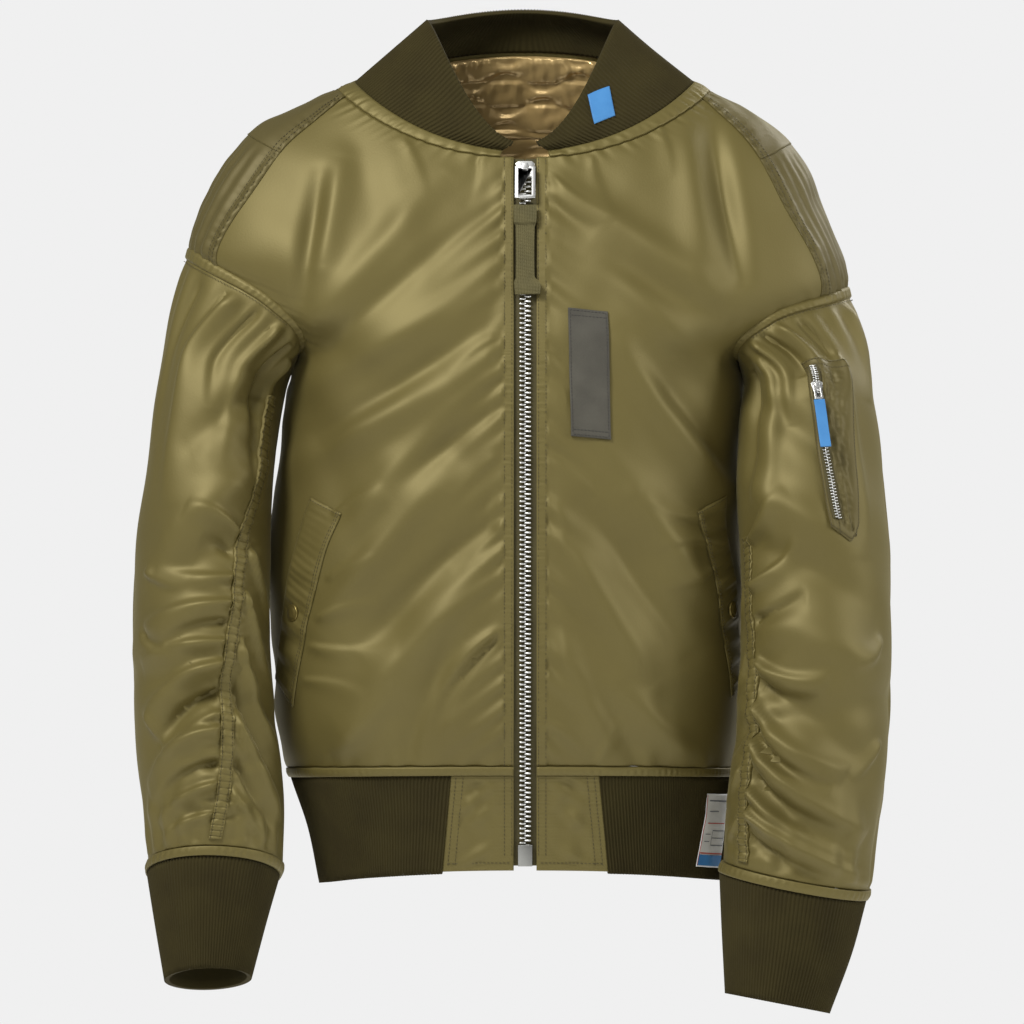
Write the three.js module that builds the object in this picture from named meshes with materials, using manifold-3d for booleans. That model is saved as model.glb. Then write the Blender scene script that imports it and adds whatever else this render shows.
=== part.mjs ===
import * as THREE from 'three';
import Module from 'manifold-3d';
import { mergeVertices } from 'three/addons/utils/BufferGeometryUtils.js';

// A zipped bomber jacket, filled out as if worn, in millimetres.
// The front faces -Y, the wearer's left is +X and Z is up. The origin lies between the shoulders,
// level with the neck, where the wearer's shoulders hold the jacket up.

const DEGREE = Math.PI / 180;
const FULL_TURN = 360;
const SHELL = 2.4;
const RIB_KNIT = 3.6;
const BINDING = 1.6;
const TRIM = 1.2;
const SEAM_GAP = 0.3;
const LIFT = 0.4;

const SATIN = { color: 0x857548, roughness: 0.42, metalness: 0 };
const SATIN_DARK = { color: 0x6f623a, roughness: 0.45, metalness: 0 };
const RIB_OLIVE = { color: 0x3c3721, roughness: 0.9, metalness: 0 };
const LINING = { color: 0x7d6b42, roughness: 0.35, metalness: 0 };
const TAPE = { color: 0x4d4629, roughness: 0.8, metalness: 0 };
const SILVER = { color: 0xc4c4c0, roughness: 0.3, metalness: 1 };
const BRASS = { color: 0x857a4e, roughness: 0.35, metalness: 0.8 };
const WEBBING = { color: 0x5a5232, roughness: 0.8, metalness: 0 };
const BLUE = { color: 0x5fa5e1, roughness: 0.6, metalness: 0 };
const PATCH_GREY = { color: 0x55524d, roughness: 0.85, metalness: 0 };
const LABEL_WHITE = { color: 0xe6e6e2, roughness: 0.7, metalness: 0 };

// Rings of the body from the hem to the neck seam. Level 0 is the top of the hem rib, 1 the neck.
const BODY_RINGS = [
  { level: -0.18, frontZ: -646, backZ: -645, rightZ: -657, leftZ: -655,
    right: 172, left: 169, front: 112, back: 104, square: 2.3 },
  { level: -0.09, frontZ: -604, backZ: -605, rightZ: -610, leftZ: -610,
    right: 182, left: 173, front: 118, back: 110, square: 2.3 },
  { level: 0.0, frontZ: -561, backZ: -566, rightZ: -564, leftZ: -564,
    right: 198, left: 176, front: 127, back: 117, square: 2.3 },
  { level: 0.08, frontZ: -520, backZ: -524, rightZ: -524, leftZ: -524,
    right: 208, left: 181, front: 141, back: 127, square: 2.3 },
  { level: 0.22, frontZ: -440, backZ: -444, rightZ: -446, leftZ: -446,
    right: 210, left: 182, front: 143, back: 126, square: 2.3 },
  { level: 0.4, frontZ: -340, backZ: -340, rightZ: -350, leftZ: -350,
    right: 207, left: 179, front: 140, back: 122, square: 2.3 },
  { level: 0.54, frontZ: -262, backZ: -252, rightZ: -275, leftZ: -275,
    right: 196, left: 178, front: 136, back: 122, square: 2.35 },
  { level: 0.62, frontZ: -216, backZ: -200, rightZ: -212, leftZ: -218,
    right: 190, left: 179, front: 132, back: 124, square: 2.6 },
  { level: 0.7, frontZ: -174, backZ: -142, rightZ: -168, leftZ: -190,
    right: 244, left: 234, front: 124, back: 124, square: 2.8 },
  { level: 0.77, frontZ: -140, backZ: -92, rightZ: -127, leftZ: -160,
    right: 281, left: 270, front: 116, back: 120, square: 2.7 },
  { level: 0.84, frontZ: -108, backZ: -45, rightZ: -72, leftZ: -88,
    right: 263, left: 249, front: 106, back: 112, square: 2.5 },
  { level: 0.91, frontZ: -80, backZ: -6, rightZ: -22, leftZ: -28,
    right: 222, left: 214, front: 95, back: 101, square: 2.3 },
  { level: 1.0, frontZ: -46, backZ: 42, rightZ: 12, leftZ: 12,
    right: 146, left: 145, front: 78, back: 80, square: 2.2 },
];
const RING_DROP_POWER = 1.8;

// The collar's free edge. It leans in from the neck seam and comes down in a V to the zip.
const COLLAR_RINGS = [
  { level: 0.0, frontZ: -44.5, backZ: 43.5, rightZ: 13.5, leftZ: 13.5,
    right: 144, left: 143, front: 77.5, back: 79, square: 2.2, drop: 1.8 },
  { level: 0.45, frontZ: -42, backZ: 64, rightZ: 42, leftZ: 42,
    right: 111, left: 107, front: 82, back: 73, square: 2.15, drop: 2.0 },
  { level: 1.0, frontZ: -38, backZ: 78, rightZ: 67, leftZ: 67,
    right: 82, left: 78, front: 80, back: 54, square: 2.1, drop: 2.4 },
];

// The armhole is an oval window on the body, measured in degrees round it and in levels up it.
const ARMHOLE = { level: 0.695, halfLevel: 0.075, halfAngle: 34 };
const SADDLE = { neckHalf: 14, armholeHalf: 24, crossLevel: 0.9, bow: 12 };

// Rings of each sleeve from below the armhole to the cuff, in millimetres and degrees.
// Roll raises the side next to the body, pitch raises the front.
const RIGHT_SLEEVE = [
  { along: 0.0, x: 236, y: -1, z: -171, across: 58, deep: 66, roll: -41, pitch: 0 },
  { along: 0.1, x: 248, y: -6, z: -209, across: 55, deep: 72, roll: -22, pitch: 3 },
  { along: 0.2, x: 256, y: -19, z: -252, across: 53, deep: 75, roll: -10, pitch: 9 },
  { along: 0.33, x: 264, y: -35, z: -320, across: 53, deep: 76, roll: -4, pitch: 12 },
  { along: 0.48, x: 270, y: -50, z: -395, across: 57, deep: 75, roll: 0, pitch: 10 },
  { along: 0.6, x: 270, y: -59, z: -454, across: 57, deep: 73, roll: 0, pitch: 9 },
  { along: 0.72, x: 267.5, y: -66, z: -515, across: 59, deep: 70, roll: 0, pitch: 10 },
  { along: 0.86, x: 260, y: -73, z: -585, across: 59, deep: 67, roll: 0, pitch: 13 },
  { along: 1.0, x: 258, y: -79, z: -639, across: 56, deep: 60, roll: -1, pitch: 16 },
];
const LEFT_SLEEVE = [
  { along: 0.0, x: 223, y: -2, z: -187, across: 54, deep: 66, roll: -32, pitch: 0 },
  { along: 0.1, x: 235, y: -18, z: -226, across: 54, deep: 72, roll: -14, pitch: 8 },
  { along: 0.2, x: 236, y: -40, z: -268, across: 57.5, deep: 75, roll: -5, pitch: 12 },
  { along: 0.33, x: 239, y: -56, z: -335, across: 62, deep: 76, roll: 0, pitch: 11 },
  { along: 0.48, x: 243, y: -68, z: -405, across: 62.5, deep: 75, roll: 0, pitch: 9 },
  { along: 0.6, x: 242, y: -77, z: -470, across: 62.5, deep: 74, roll: 0, pitch: 6 },
  { along: 0.72, x: 239, y: -84, z: -530, across: 64, deep: 71, roll: 2, pitch: 3 },
  { along: 0.86, x: 232, y: -89, z: -590, across: 64, deep: 68, roll: 6, pitch: -1 },
  { along: 1.0, x: 226, y: -91, z: -648, across: 62, deep: 60, roll: 11, pitch: -4 },
];

// Rings of each rib cuff below its binding, down to the open end.
const RIGHT_CUFF = [
  { along: 0.0, x: 260, y: -81, z: -648, across: 55, deep: 58, roll: -1, pitch: 17 },
  { along: 0.4, x: 262, y: -87, z: -684, across: 47, deep: 51, roll: 0, pitch: 17 },
  { along: 1.0, x: 264, y: -95, z: -735, across: 36, deep: 40, roll: 2, pitch: 15 },
];
const LEFT_CUFF = [
  { along: 0.0, x: 223, y: -92, z: -657, across: 62, deep: 58, roll: 11, pitch: -4 },
  { along: 0.45, x: 218, y: -94, z: -702, across: 55, deep: 51, roll: 11, pitch: -3 },
  { along: 1.0, x: 210, y: -96, z: -755, across: 44, deep: 42, roll: 11, pitch: 2 },
];

// Where each gathered strip runs down the front of its sleeve.
const RIGHT_GATHER_LINE = [
  { along: 0.19, turn: 147 },
  { along: 0.36, turn: 140 },
  { along: 0.48, turn: 127 },
  { along: 0.6, turn: 118 },
  { along: 0.74, turn: 109 },
  { along: 0.985, turn: 91 },
];
const LEFT_GATHER_LINE = [
  { along: 0.41, turn: 158 },
  { along: 0.5, turn: 153 },
  { along: 0.63, turn: 148 },
  { along: 0.78, turn: 144 },
  { along: 0.985, turn: 138 },
];

// Each fold is a soft ridge, or a trough where its height is negative, seen from the front or back.
const FRONT_FOLDS = [
  { x0: 142, z0: -14, x1: 168, z1: -150, width: 15, height: -8 },
  { x0: 118, z0: -30, x1: 150, z1: -190, width: 13, height: 6 },
  { x0: 168, z0: -165, x1: 96, z1: -300, width: 15, height: -6 },
  { x0: 172, z0: -200, x1: 150, z1: -330, width: 13, height: 6 },
  { x0: 90, z0: -60, x1: 40, z1: -190, width: 14, height: 4 },
  { x0: 168, z0: -300, x1: 60, z1: -420, width: 18, height: -5 },
  { x0: 150, z0: -360, x1: 70, z1: -500, width: 17, height: 5 },
  { x0: 60, z0: -330, x1: 22, z1: -400, width: 12, height: -4 },
  { x0: 110, z0: -470, x1: 120, z1: -555, width: 12, height: -5 },
  { x0: 60, z0: -480, x1: 66, z1: -558, width: 11, height: 4 },
  { x0: -146, z0: -18, x1: -120, z1: -130, width: 15, height: -7 },
  { x0: -112, z0: -34, x1: -84, z1: -170, width: 14, height: 5 },
  { x0: -188, z0: -190, x1: -100, z1: -250, width: 15, height: -7 },
  { x0: -190, z0: -215, x1: -90, z1: -330, width: 16, height: 6 },
  { x0: -182, z0: -250, x1: -130, z1: -400, width: 14, height: -6 },
  { x0: -90, z0: -260, x1: -24, z1: -330, width: 13, height: -4 },
  { x0: -176, z0: -360, x1: -60, z1: -450, width: 18, height: 5 },
  { x0: -150, z0: -420, x1: -40, z1: -520, width: 16, height: -5 },
  { x0: -130, z0: -500, x1: -136, z1: -558, width: 12, height: -4 },
  { x0: -80, z0: -490, x1: -84, z1: -556, width: 11, height: 4 },
];
const BACK_FOLDS = [
  { x0: 150, z0: -10, x1: 130, z1: -150, width: 15, height: -6 },
  { x0: -150, z0: -10, x1: -128, z1: -160, width: 15, height: -6 },
  { x0: 182, z0: -210, x1: 70, z1: -270, width: 16, height: -6 },
  { x0: -188, z0: -205, x1: -80, z1: -280, width: 16, height: -6 },
  { x0: 176, z0: -240, x1: 90, z1: -360, width: 16, height: 6 },
  { x0: -186, z0: -240, x1: -100, z1: -350, width: 16, height: 6 },
  { x0: 150, z0: -380, x1: 20, z1: -450, width: 18, height: -5 },
  { x0: -160, z0: -400, x1: -30, z1: -440, width: 18, height: 5 },
  { x0: 120, z0: -470, x1: 110, z1: -556, width: 14, height: -5 },
  { x0: 40, z0: -480, x1: 44, z1: -556, width: 14, height: 4 },
  { x0: -50, z0: -476, x1: -46, z1: -556, width: 14, height: -5 },
  { x0: -130, z0: -484, x1: -124, z1: -556, width: 14, height: 4 },
];

// Folds of a sleeve, placed by degrees round it and by the share of its length.
const SLEEVE_FOLDS = [
  { turn0: 150, along0: 0.16, turn1: 70, along1: 0.3, width: 13, height: -6 },
  { turn0: 160, along0: 0.3, turn1: 60, along1: 0.44, width: 14, height: 6 },
  { turn0: 150, along0: 0.42, turn1: 40, along1: 0.54, width: 14, height: -7 },
  { turn0: 130, along0: 0.55, turn1: 20, along1: 0.63, width: 14, height: 6 },
  { turn0: 140, along0: 0.64, turn1: 40, along1: 0.78, width: 14, height: -6 },
  { turn0: 120, along0: 0.78, turn1: 30, along1: 0.9, width: 12, height: 5 },
  { turn0: 200, along0: 0.3, turn1: 300, along1: 0.4, width: 14, height: -6 },
  { turn0: 190, along0: 0.46, turn1: 310, along1: 0.5, width: 15, height: 6 },
  { turn0: 210, along0: 0.58, turn1: 320, along1: 0.64, width: 14, height: -6 },
  { turn0: 200, along0: 0.76, turn1: 300, along1: 0.86, width: 13, height: 5 },
  { turn0: 350, along0: 0.2, turn1: 300, along1: 0.34, width: 13, height: -5 },
  { turn0: 10, along0: 0.66, turn1: 330, along1: 0.8, width: 13, height: -5 },
];
const SLEEVE_LENGTH = 480;
const SLEEVE_RADIUS = 66;
const CUFF_GATHERS = 26;
const CUFF_GATHER_HEIGHT = 2.2;
const HEM_GATHERS = 40;
const HEM_GATHER_HEIGHT = 1.8;

// A smooth curve through the rows of a table, for every named column.
function rowAt(rows, key, at) {
  const last = rows.length - 1;
  let i = 0;
  while (i < last - 1 && at > rows[i + 1][key]) i += 1;
  const before = rows[Math.max(i - 1, 0)];
  const start = rows[i];
  const end = rows[i + 1];
  const after = rows[Math.min(i + 2, last)];
  const span = end[key] - start[key];
  const t = (at - start[key]) / span;
  const result = {};
  for (const column of Object.keys(start)) {
    const slopeStart = (end[column] - before[column]) / (end[key] - before[key]) * span;
    const slopeEnd = (after[column] - start[column]) / (after[key] - start[key]) * span;
    const a = 2 * start[column] - 2 * end[column] + slopeStart + slopeEnd;
    const b = 3 * end[column] - 3 * start[column] - 2 * slopeStart - slopeEnd;
    result[column] = ((a * t + b) * t + slopeStart) * t + start[column];
  }
  return result;
}

function mix(a, b, share) {
  return a + (b - a) * share;
}

function smooth(low, high, value) {
  const t = Math.min(Math.max((value - low) / (high - low), 0), 1);
  return t * t * (3 - 2 * t);
}

// Height of the folds at a place on the cloth. A fold fades towards its two ends.
function foldHeight(folds, a, b) {
  let sum = 0;
  for (const fold of folds) {
    const dx = fold.x1 - fold.x0;
    const dz = fold.z1 - fold.z0;
    const length = dx * dx + dz * dz;
    const share = ((a - fold.x0) * dx + (b - fold.z0) * dz) / length;
    const near = Math.min(Math.max(share, 0), 1);
    const away = Math.hypot(a - fold.x0 - dx * near, b - fold.z0 - dz * near) / fold.width;
    const fade = 0.35 + 0.65 * Math.sin(Math.PI * near);
    sum += fold.height * fade * Math.exp(-away * away);
  }
  return sum;
}

// One point of a ring. Angle 0 is centre front, 90 the wearer's left side and 180 centre back.
function ringPoint(ring, angle, dropPower) {
  const sine = Math.sin(angle * DEGREE);
  const cosine = Math.cos(angle * DEGREE);
  const reach = sine >= 0 ? ring.left : ring.right;
  const sideZ = sine >= 0 ? ring.leftZ : ring.rightZ;
  const depth = cosine >= 0 ? -ring.front : ring.back;
  const endZ = cosine >= 0 ? ring.frontZ : ring.backZ;
  const x = Math.sign(sine) * reach * Math.abs(sine) ** (2 / ring.square);
  const y = depth * Math.abs(cosine) ** (2 / ring.square);
  const z = sideZ + (endZ - sideZ) * Math.abs(cosine) ** dropPower;
  return new THREE.Vector3(x, y, z);
}

function bodyBase(angle, level) {
  return ringPoint(rowAt(BODY_RINGS, 'level', level), angle, RING_DROP_POWER);
}

function collarBase(angle, level) {
  const ring = rowAt(COLLAR_RINGS, 'level', level);
  return ringPoint(ring, angle, ring.drop);
}

// The outward direction of a surface given by two numbers, from small steps on both.
function outward(base, first, second, firstStep, secondStep) {
  const across = base(first + firstStep, second).sub(base(first - firstStep, second));
  const up = base(first, second + secondStep).sub(base(first, second - secondStep));
  return across.cross(up).normalize();
}

// Soft gathers just above the hem rib, which draws the shell in.
function hemGathers(angle, level) {
  const fade = smooth(0.16, 0.0, level) * smooth(-0.02, 0.01, level) * smooth(8, 24, Math.abs(angle));
  return HEM_GATHER_HEIGHT * fade * Math.cos(angle * HEM_GATHERS * DEGREE);
}

function bodyPoint(angle, level, out) {
  const point = bodyBase(angle, level);
  const folds = Math.cos(angle * DEGREE) >= 0 ? FRONT_FOLDS : BACK_FOLDS;
  const settled = smooth(-0.02, 0.05, level) * smooth(1.0, 0.94, level);
  const nearSide = smooth(0, 0.22, Math.abs(Math.cos(angle * DEGREE)));
  const nearZip = smooth(3, 12, Math.abs(angle));
  const edge = armholeDistance(angle, level);
  const calm = settled * nearSide * nearZip * smooth(0.02, 0.3, edge);
  const folded = foldHeight(folds, point.x, point.z) * calm + hemGathers(angle, level);
  const normal = outward(bodyBase, angle, level, 0.5, 0.004);
  return point.addScaledVector(normal, out + folded);
}

// How far outside the armhole a place lies, as a share of the armhole's own size.
function armholeDistance(angle, level) {
  const round = (Math.abs(angle) - 90) / ARMHOLE.halfAngle;
  const up = (level - ARMHOLE.level) / ARMHOLE.halfLevel;
  return Math.max(Math.hypot(round, up) - 1, 0);
}

function collarPoint(angle, level, out) {
  const normal = outward(collarBase, angle, level, 0.5, 0.02);
  return collarBase(angle, level).addScaledVector(normal, out);
}

// Angle and level of the place on the front of the body that is seen at x and z.
function frontPlace(x, z) {
  let low = BODY_RINGS[0].level;
  let high = 1;
  let angle = 0;
  for (let i = 0; i < 30; i += 1) {
    const middle = (low + high) / 2;
    const ring = rowAt(BODY_RINGS, 'level', middle);
    const reach = x >= 0 ? ring.left : ring.right;
    const share = Math.min(Math.abs(x) / reach, 1);
    angle = Math.sign(x) * Math.asin(share ** (ring.square / 2)) / DEGREE;
    if (bodyBase(angle, middle).z < z) low = middle;
    else high = middle;
  }
  return { angle, level: (low + high) / 2 };
}

// The angle at which a vertical line beside the zip crosses a level.
function angleBesideZip(x, level) {
  const ring = rowAt(BODY_RINGS, 'level', level);
  const reach = x >= 0 ? ring.left : ring.right;
  return Math.sign(x) * Math.asin((Math.abs(x) / reach) ** (ring.square / 2)) / DEGREE;
}

// Half the angle that the armhole takes at a level.
function armholeHalfAngle(level) {
  const share = (level - ARMHOLE.level) / ARMHOLE.halfLevel;
  return Math.abs(share) < 1 ? ARMHOLE.halfAngle * Math.sqrt(1 - share * share) : 0;
}

// The level of the armhole's upper edge at an angle from the side line.
function armholeTopLevel(round) {
  const share = Math.min(Math.abs(round) / ARMHOLE.halfAngle, 1);
  return ARMHOLE.level + ARMHOLE.halfLevel * Math.sqrt(1 - share * share);
}

// A ring of a sleeve or cuff. Turn 0 is the outer side, 90 the front and 180 the side by the body.
function tubeBase(rows, side, turn, along) {
  const ring = rowAt(rows, 'along', along);
  const out = ring.across * Math.cos(turn * DEGREE);
  const fore = ring.deep * Math.sin(turn * DEGREE);
  const x = ring.x + out * Math.cos(ring.roll * DEGREE);
  const y = ring.y - fore * Math.cos(ring.pitch * DEGREE);
  const z = ring.z - out * Math.sin(ring.roll * DEGREE) + fore * Math.sin(ring.pitch * DEGREE);
  return new THREE.Vector3(side * x, y, z);
}

function sleeveRows(side) {
  return side > 0 ? LEFT_SLEEVE : RIGHT_SLEEVE;
}

function sleeveBase(side, turn, along) {
  const settled = smooth(0, 0.16, along);
  const ring = tubeBase(sleeveRows(side), side, turn, along);
  if (settled >= 1) return ring;
  const seam = bodyBaseAtArmhole(side, turn);
  const start = tubeBase(sleeveRows(side), side, turn, 0);
  return ring.add(seam.sub(start).multiplyScalar(1 - settled));
}

function bodyBaseAtArmhole(side, turn) {
  const angle = 90 - ARMHOLE.halfAngle * Math.sin(turn * DEGREE);
  const level = ARMHOLE.level + ARMHOLE.halfLevel * Math.cos(turn * DEGREE);
  return bodyBase(side * angle, level);
}

function sleeveFoldHeight(turn, along) {
  const around = ((turn % FULL_TURN) + FULL_TURN) % FULL_TURN;
  let sum = 0;
  for (const fold of SLEEVE_FOLDS) {
    for (const shift of [-FULL_TURN, 0]) {
      const place = {
        x0: (fold.turn0 + shift) * DEGREE * SLEEVE_RADIUS,
        z0: fold.along0 * SLEEVE_LENGTH,
        x1: (fold.turn1 + shift) * DEGREE * SLEEVE_RADIUS,
        z1: fold.along1 * SLEEVE_LENGTH,
        width: fold.width,
        height: fold.height,
      };
      sum += foldHeight([place], around * DEGREE * SLEEVE_RADIUS, along * SLEEVE_LENGTH);
      if (fold.turn0 < 300 && fold.turn1 < 300) break;
    }
  }
  return sum;
}

function sleevePoint(side, turn, along, out) {
  const base = (a, b) => sleeveBase(side, a, b);
  const normal = outward(base, turn, along, 2, 0.01).multiplyScalar(side);
  const fade = smooth(0.05, 0.2, along) * smooth(1.0, 0.93, along);
  const bodySide = 1 - 0.75 * smooth(40, 0, Math.abs(turn - 180));
  const gathers = CUFF_GATHER_HEIGHT * smooth(0.84, 0.97, along) * smooth(1.0, 0.985, along);
  const height = sleeveFoldHeight(turn, along) * fade * bodySide
    + gathers * bodySide * Math.cos(turn * CUFF_GATHERS * DEGREE);
  return sleeveBase(side, turn, along).addScaledVector(normal, out + height);
}

function cuffPoint(side, turn, along, out) {
  const rows = side > 0 ? LEFT_CUFF : RIGHT_CUFF;
  const base = (a, b) => tubeBase(rows, side, a, b);
  const normal = outward(base, turn, along, 2, 0.02).multiplyScalar(side);
  return base(turn, along).addScaledVector(normal, out);
}

// A closed wall from a surface: an outer grid, an inner grid and the edges between them.
// The point function takes shares across and along, and a distance out of the cloth.
function wallGeometry(point, columns, rows, inside, raised, closed) {
  const across = closed ? columns : columns + 1;
  const vertices = [];
  const layers = [raised, () => inside];
  for (const layer of layers) {
    for (let i = 0; i <= rows; i += 1) {
      for (let j = 0; j < across; j += 1) {
        const a = j / columns;
        const b = i / rows;
        vertices.push(point(a, b, layer(a, b)));
      }
    }
  }
  const inner = across * (rows + 1);
  const at = (i, j) => i * across + (j % across);
  const faces = [];
  const quad = (a, b, c, d) => faces.push(a, b, c, a, c, d);
  for (let i = 0; i < rows; i += 1) {
    for (let j = 0; j < columns; j += 1) {
      quad(at(i, j), at(i, j + 1), at(i + 1, j + 1), at(i + 1, j));
      quad(inner + at(i, j), inner + at(i + 1, j), inner + at(i + 1, j + 1), inner + at(i, j + 1));
    }
  }
  for (let j = 0; j < columns; j += 1) {
    quad(at(0, j), inner + at(0, j), inner + at(0, j + 1), at(0, j + 1));
    quad(at(rows, j), at(rows, j + 1), inner + at(rows, j + 1), inner + at(rows, j));
  }
  if (!closed) {
    for (let i = 0; i < rows; i += 1) {
      quad(at(i, 0), at(i + 1, 0), inner + at(i + 1, 0), inner + at(i, 0));
      quad(at(i, columns), inner + at(i, columns), inner + at(i + 1, columns), at(i + 1, columns));
    }
  }
  return closedGeometry(vertices, faces);
}

// Turns the faces round where they would point inwards.
function closedGeometry(vertices, faces) {
  let volume = 0;
  for (let i = 0; i < faces.length; i += 3) {
    const [a, b, c] = [vertices[faces[i]], vertices[faces[i + 1]], vertices[faces[i + 2]]];
    volume += a.dot(b.clone().cross(c));
  }
  const geometry = new THREE.BufferGeometry();
  const ordered = volume >= 0 ? faces : faces.slice().reverse();
  geometry.setFromPoints(vertices);
  geometry.setIndex(ordered);
  geometry.computeVertexNormals();
  return geometry;
}

function piece(name, geometry, finish) {
  const mesh = new THREE.Mesh(geometry, new THREE.MeshStandardMaterial(finish));
  mesh.name = name;
  return mesh;
}

function panel(name, finish, point, columns, rows, thickness, options = {}) {
  const raised = options.raised ?? (() => options.lift ?? 0);
  const inside = (options.lift ?? 0) - thickness;
  return piece(name, wallGeometry(point, columns, rows, inside, raised, options.closed ?? false), finish);
}

const sideName = (side) => (side > 0 ? 'left' : 'right');

// Rows that crowd together where a curve turns fastest.
function spread(stops, share) {
  const at = share * (stops.length - 1);
  const i = Math.min(Math.floor(at), stops.length - 2);
  return mix(stops[i], stops[i + 1], at - i);
}

// A sampled surface that pieces lying on a panel are made from, so that they follow its facets.
function sampled(point, columns, rows) {
  const places = [];
  const normals = [];
  for (let i = 0; i <= rows; i += 1) {
    for (let j = 0; j <= columns; j += 1) {
      const place = point(j / columns, i / rows, 0);
      places.push(place);
      normals.push(point(j / columns, i / rows, 1).sub(place));
    }
  }
  return (a, b, out) => {
    const column = Math.min(Math.max(Math.floor(a * columns), 0), columns - 1);
    const row = Math.min(Math.max(Math.floor(b * rows), 0), rows - 1);
    const [s, t] = [a * columns - column, b * rows - row];
    const blend = (list) => {
      const at = (i, j) => list[i * (columns + 1) + j].clone();
      const low = at(row, column).lerp(at(row, column + 1), s);
      return low.lerp(at(row + 1, column).lerp(at(row + 1, column + 1), s), t);
    };
    return blend(places).addScaledVector(blend(normals), out);
  };
}

const ZIP_EDGE = 9.5;
const PLACKET_EDGE = 20;
const SEAM_ANGLE = 0.12;
const ARMHOLE_FOOT = ARMHOLE.level - ARMHOLE.halfLevel;
const SADDLE_SEAM = 0.0012;
const SADDLE_FOOT = armholeTopLevel(SADDLE.armholeHalf);
const NECK_TOP = 0.989;
const HEM_TOP = 0.0083;
const LOWER_SADDLE_LEVELS = [SADDLE_FOOT, 0.79, 0.83, 0.87, SADDLE.crossLevel - SADDLE_SEAM];
const UPPER_SADDLE_LEVELS = [SADDLE.crossLevel + SADDLE_SEAM, 0.945, NECK_TOP];
const PANEL_LEVELS = [HEM_TOP, 0.06, 0.13, 0.21, 0.3, 0.39, 0.47, 0.55, ARMHOLE_FOOT, 0.626, 0.64,
  0.665, 0.7, 0.73, ...LOWER_SADDLE_LEVELS, ...UPPER_SADDLE_LEVELS];
const PANEL_ROWS = PANEL_LEVELS.length - 1;
const FRONT_COLUMNS = 12;
const BACK_COLUMNS = 22;
const SLEEVE_COLUMNS = 22;
const SLEEVE_RANKS = 22;
const SLEEVE_START = 0.021;

// The share of a list of stops at which a value lies.
function shareOf(stops, value) {
  let i = 0;
  while (i < stops.length - 2 && value > stops[i + 1]) i += 1;
  return (i + (value - stops[i]) / (stops[i + 1] - stops[i])) / (stops.length - 1);
}

// Degrees from the side line to the panel's edge: side seam, then armhole, then saddle seam.
function panelEdge(level) {
  if (level <= ARMHOLE_FOOT) return SEAM_ANGLE;
  if (level <= SADDLE_FOOT) return armholeHalfAngle(level) + SEAM_ANGLE;
  return saddleHalfAngle(level) + SEAM_ANGLE;
}

function saddleHalfAngle(level) {
  const share = (level - SADDLE_FOOT) / (1 - SADDLE_FOOT);
  return mix(SADDLE.armholeHalf, SADDLE.neckHalf, share) + SADDLE.bow * 4 * share * (1 - share);
}

// The three angles that a front panel's columns are spread between at a level.
function frontStops(side, level) {
  const inner = Math.abs(angleBesideZip(side * ZIP_EDGE, level));
  const placket = Math.abs(angleBesideZip(side * PLACKET_EDGE, level));
  return [inner, placket, 90 - panelEdge(level)];
}

function frontSurface(side) {
  return (a, b, out) => {
    const level = spread(PANEL_LEVELS, b);
    const [inner, placket, outer] = frontStops(side, level);
    const column = a * FRONT_COLUMNS;
    const angle = column < 1
      ? mix(inner, placket, column)
      : mix(placket, outer, (column - 1) / (FRONT_COLUMNS - 1));
    return bodyPoint(side * angle, level, out);
  };
}

function backSurface(a, b, out) {
  const level = spread(PANEL_LEVELS, b);
  const edge = 90 + panelEdge(level);
  return bodyPoint(signedAngle(mix(edge, FULL_TURN - edge, a)), level, out);
}

function signedAngle(angle) {
  return angle > 180 ? angle - FULL_TURN : angle;
}

const onFront = {
  1: sampled(frontSurface(1), FRONT_COLUMNS, PANEL_ROWS),
  '-1': sampled(frontSurface(-1), FRONT_COLUMNS, PANEL_ROWS),
};
const onBack = sampled(backSurface, BACK_COLUMNS, PANEL_ROWS);
const onSleeve = {
  1: sampled(sleeveSurface(1), SLEEVE_COLUMNS, SLEEVE_RANKS),
  '-1': sampled(sleeveSurface(-1), SLEEVE_COLUMNS, SLEEVE_RANKS),
};

function sleeveSurface(side) {
  return (a, b, out) => sleevePoint(side, FULL_TURN * a, mix(SLEEVE_START, 1, b), out);
}

// A point on a front panel by its angle and level, and one by where it is seen from the front.
function frontAt(side, angle, level, out) {
  const [inner, placket, outer] = frontStops(side, level);
  const past = (angle - placket) / (outer - placket);
  const column = angle < placket
    ? (angle - inner) / (placket - inner)
    : 1 + past * (FRONT_COLUMNS - 1);
  return onFront[side](column / FRONT_COLUMNS, shareOf(PANEL_LEVELS, level), out);
}

function frontSeen(x, z, out) {
  const place = frontPlace(x, z);
  return frontAt(Math.sign(x), Math.abs(place.angle), place.level, out);
}

function sleeveAt(side, turn, along, out) {
  return onSleeve[side](turn / FULL_TURN, (along - SLEEVE_START) / (1 - SLEEVE_START), out);
}

function frontPanel(side) {
  const name = `front_${sideName(side)}`;
  return panel(name, SATIN, frontSurface(side), FRONT_COLUMNS, PANEL_ROWS, SHELL);
}

function backPanel() {
  return panel('back', SATIN, backSurface, BACK_COLUMNS, PANEL_ROWS, SHELL);
}

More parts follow.
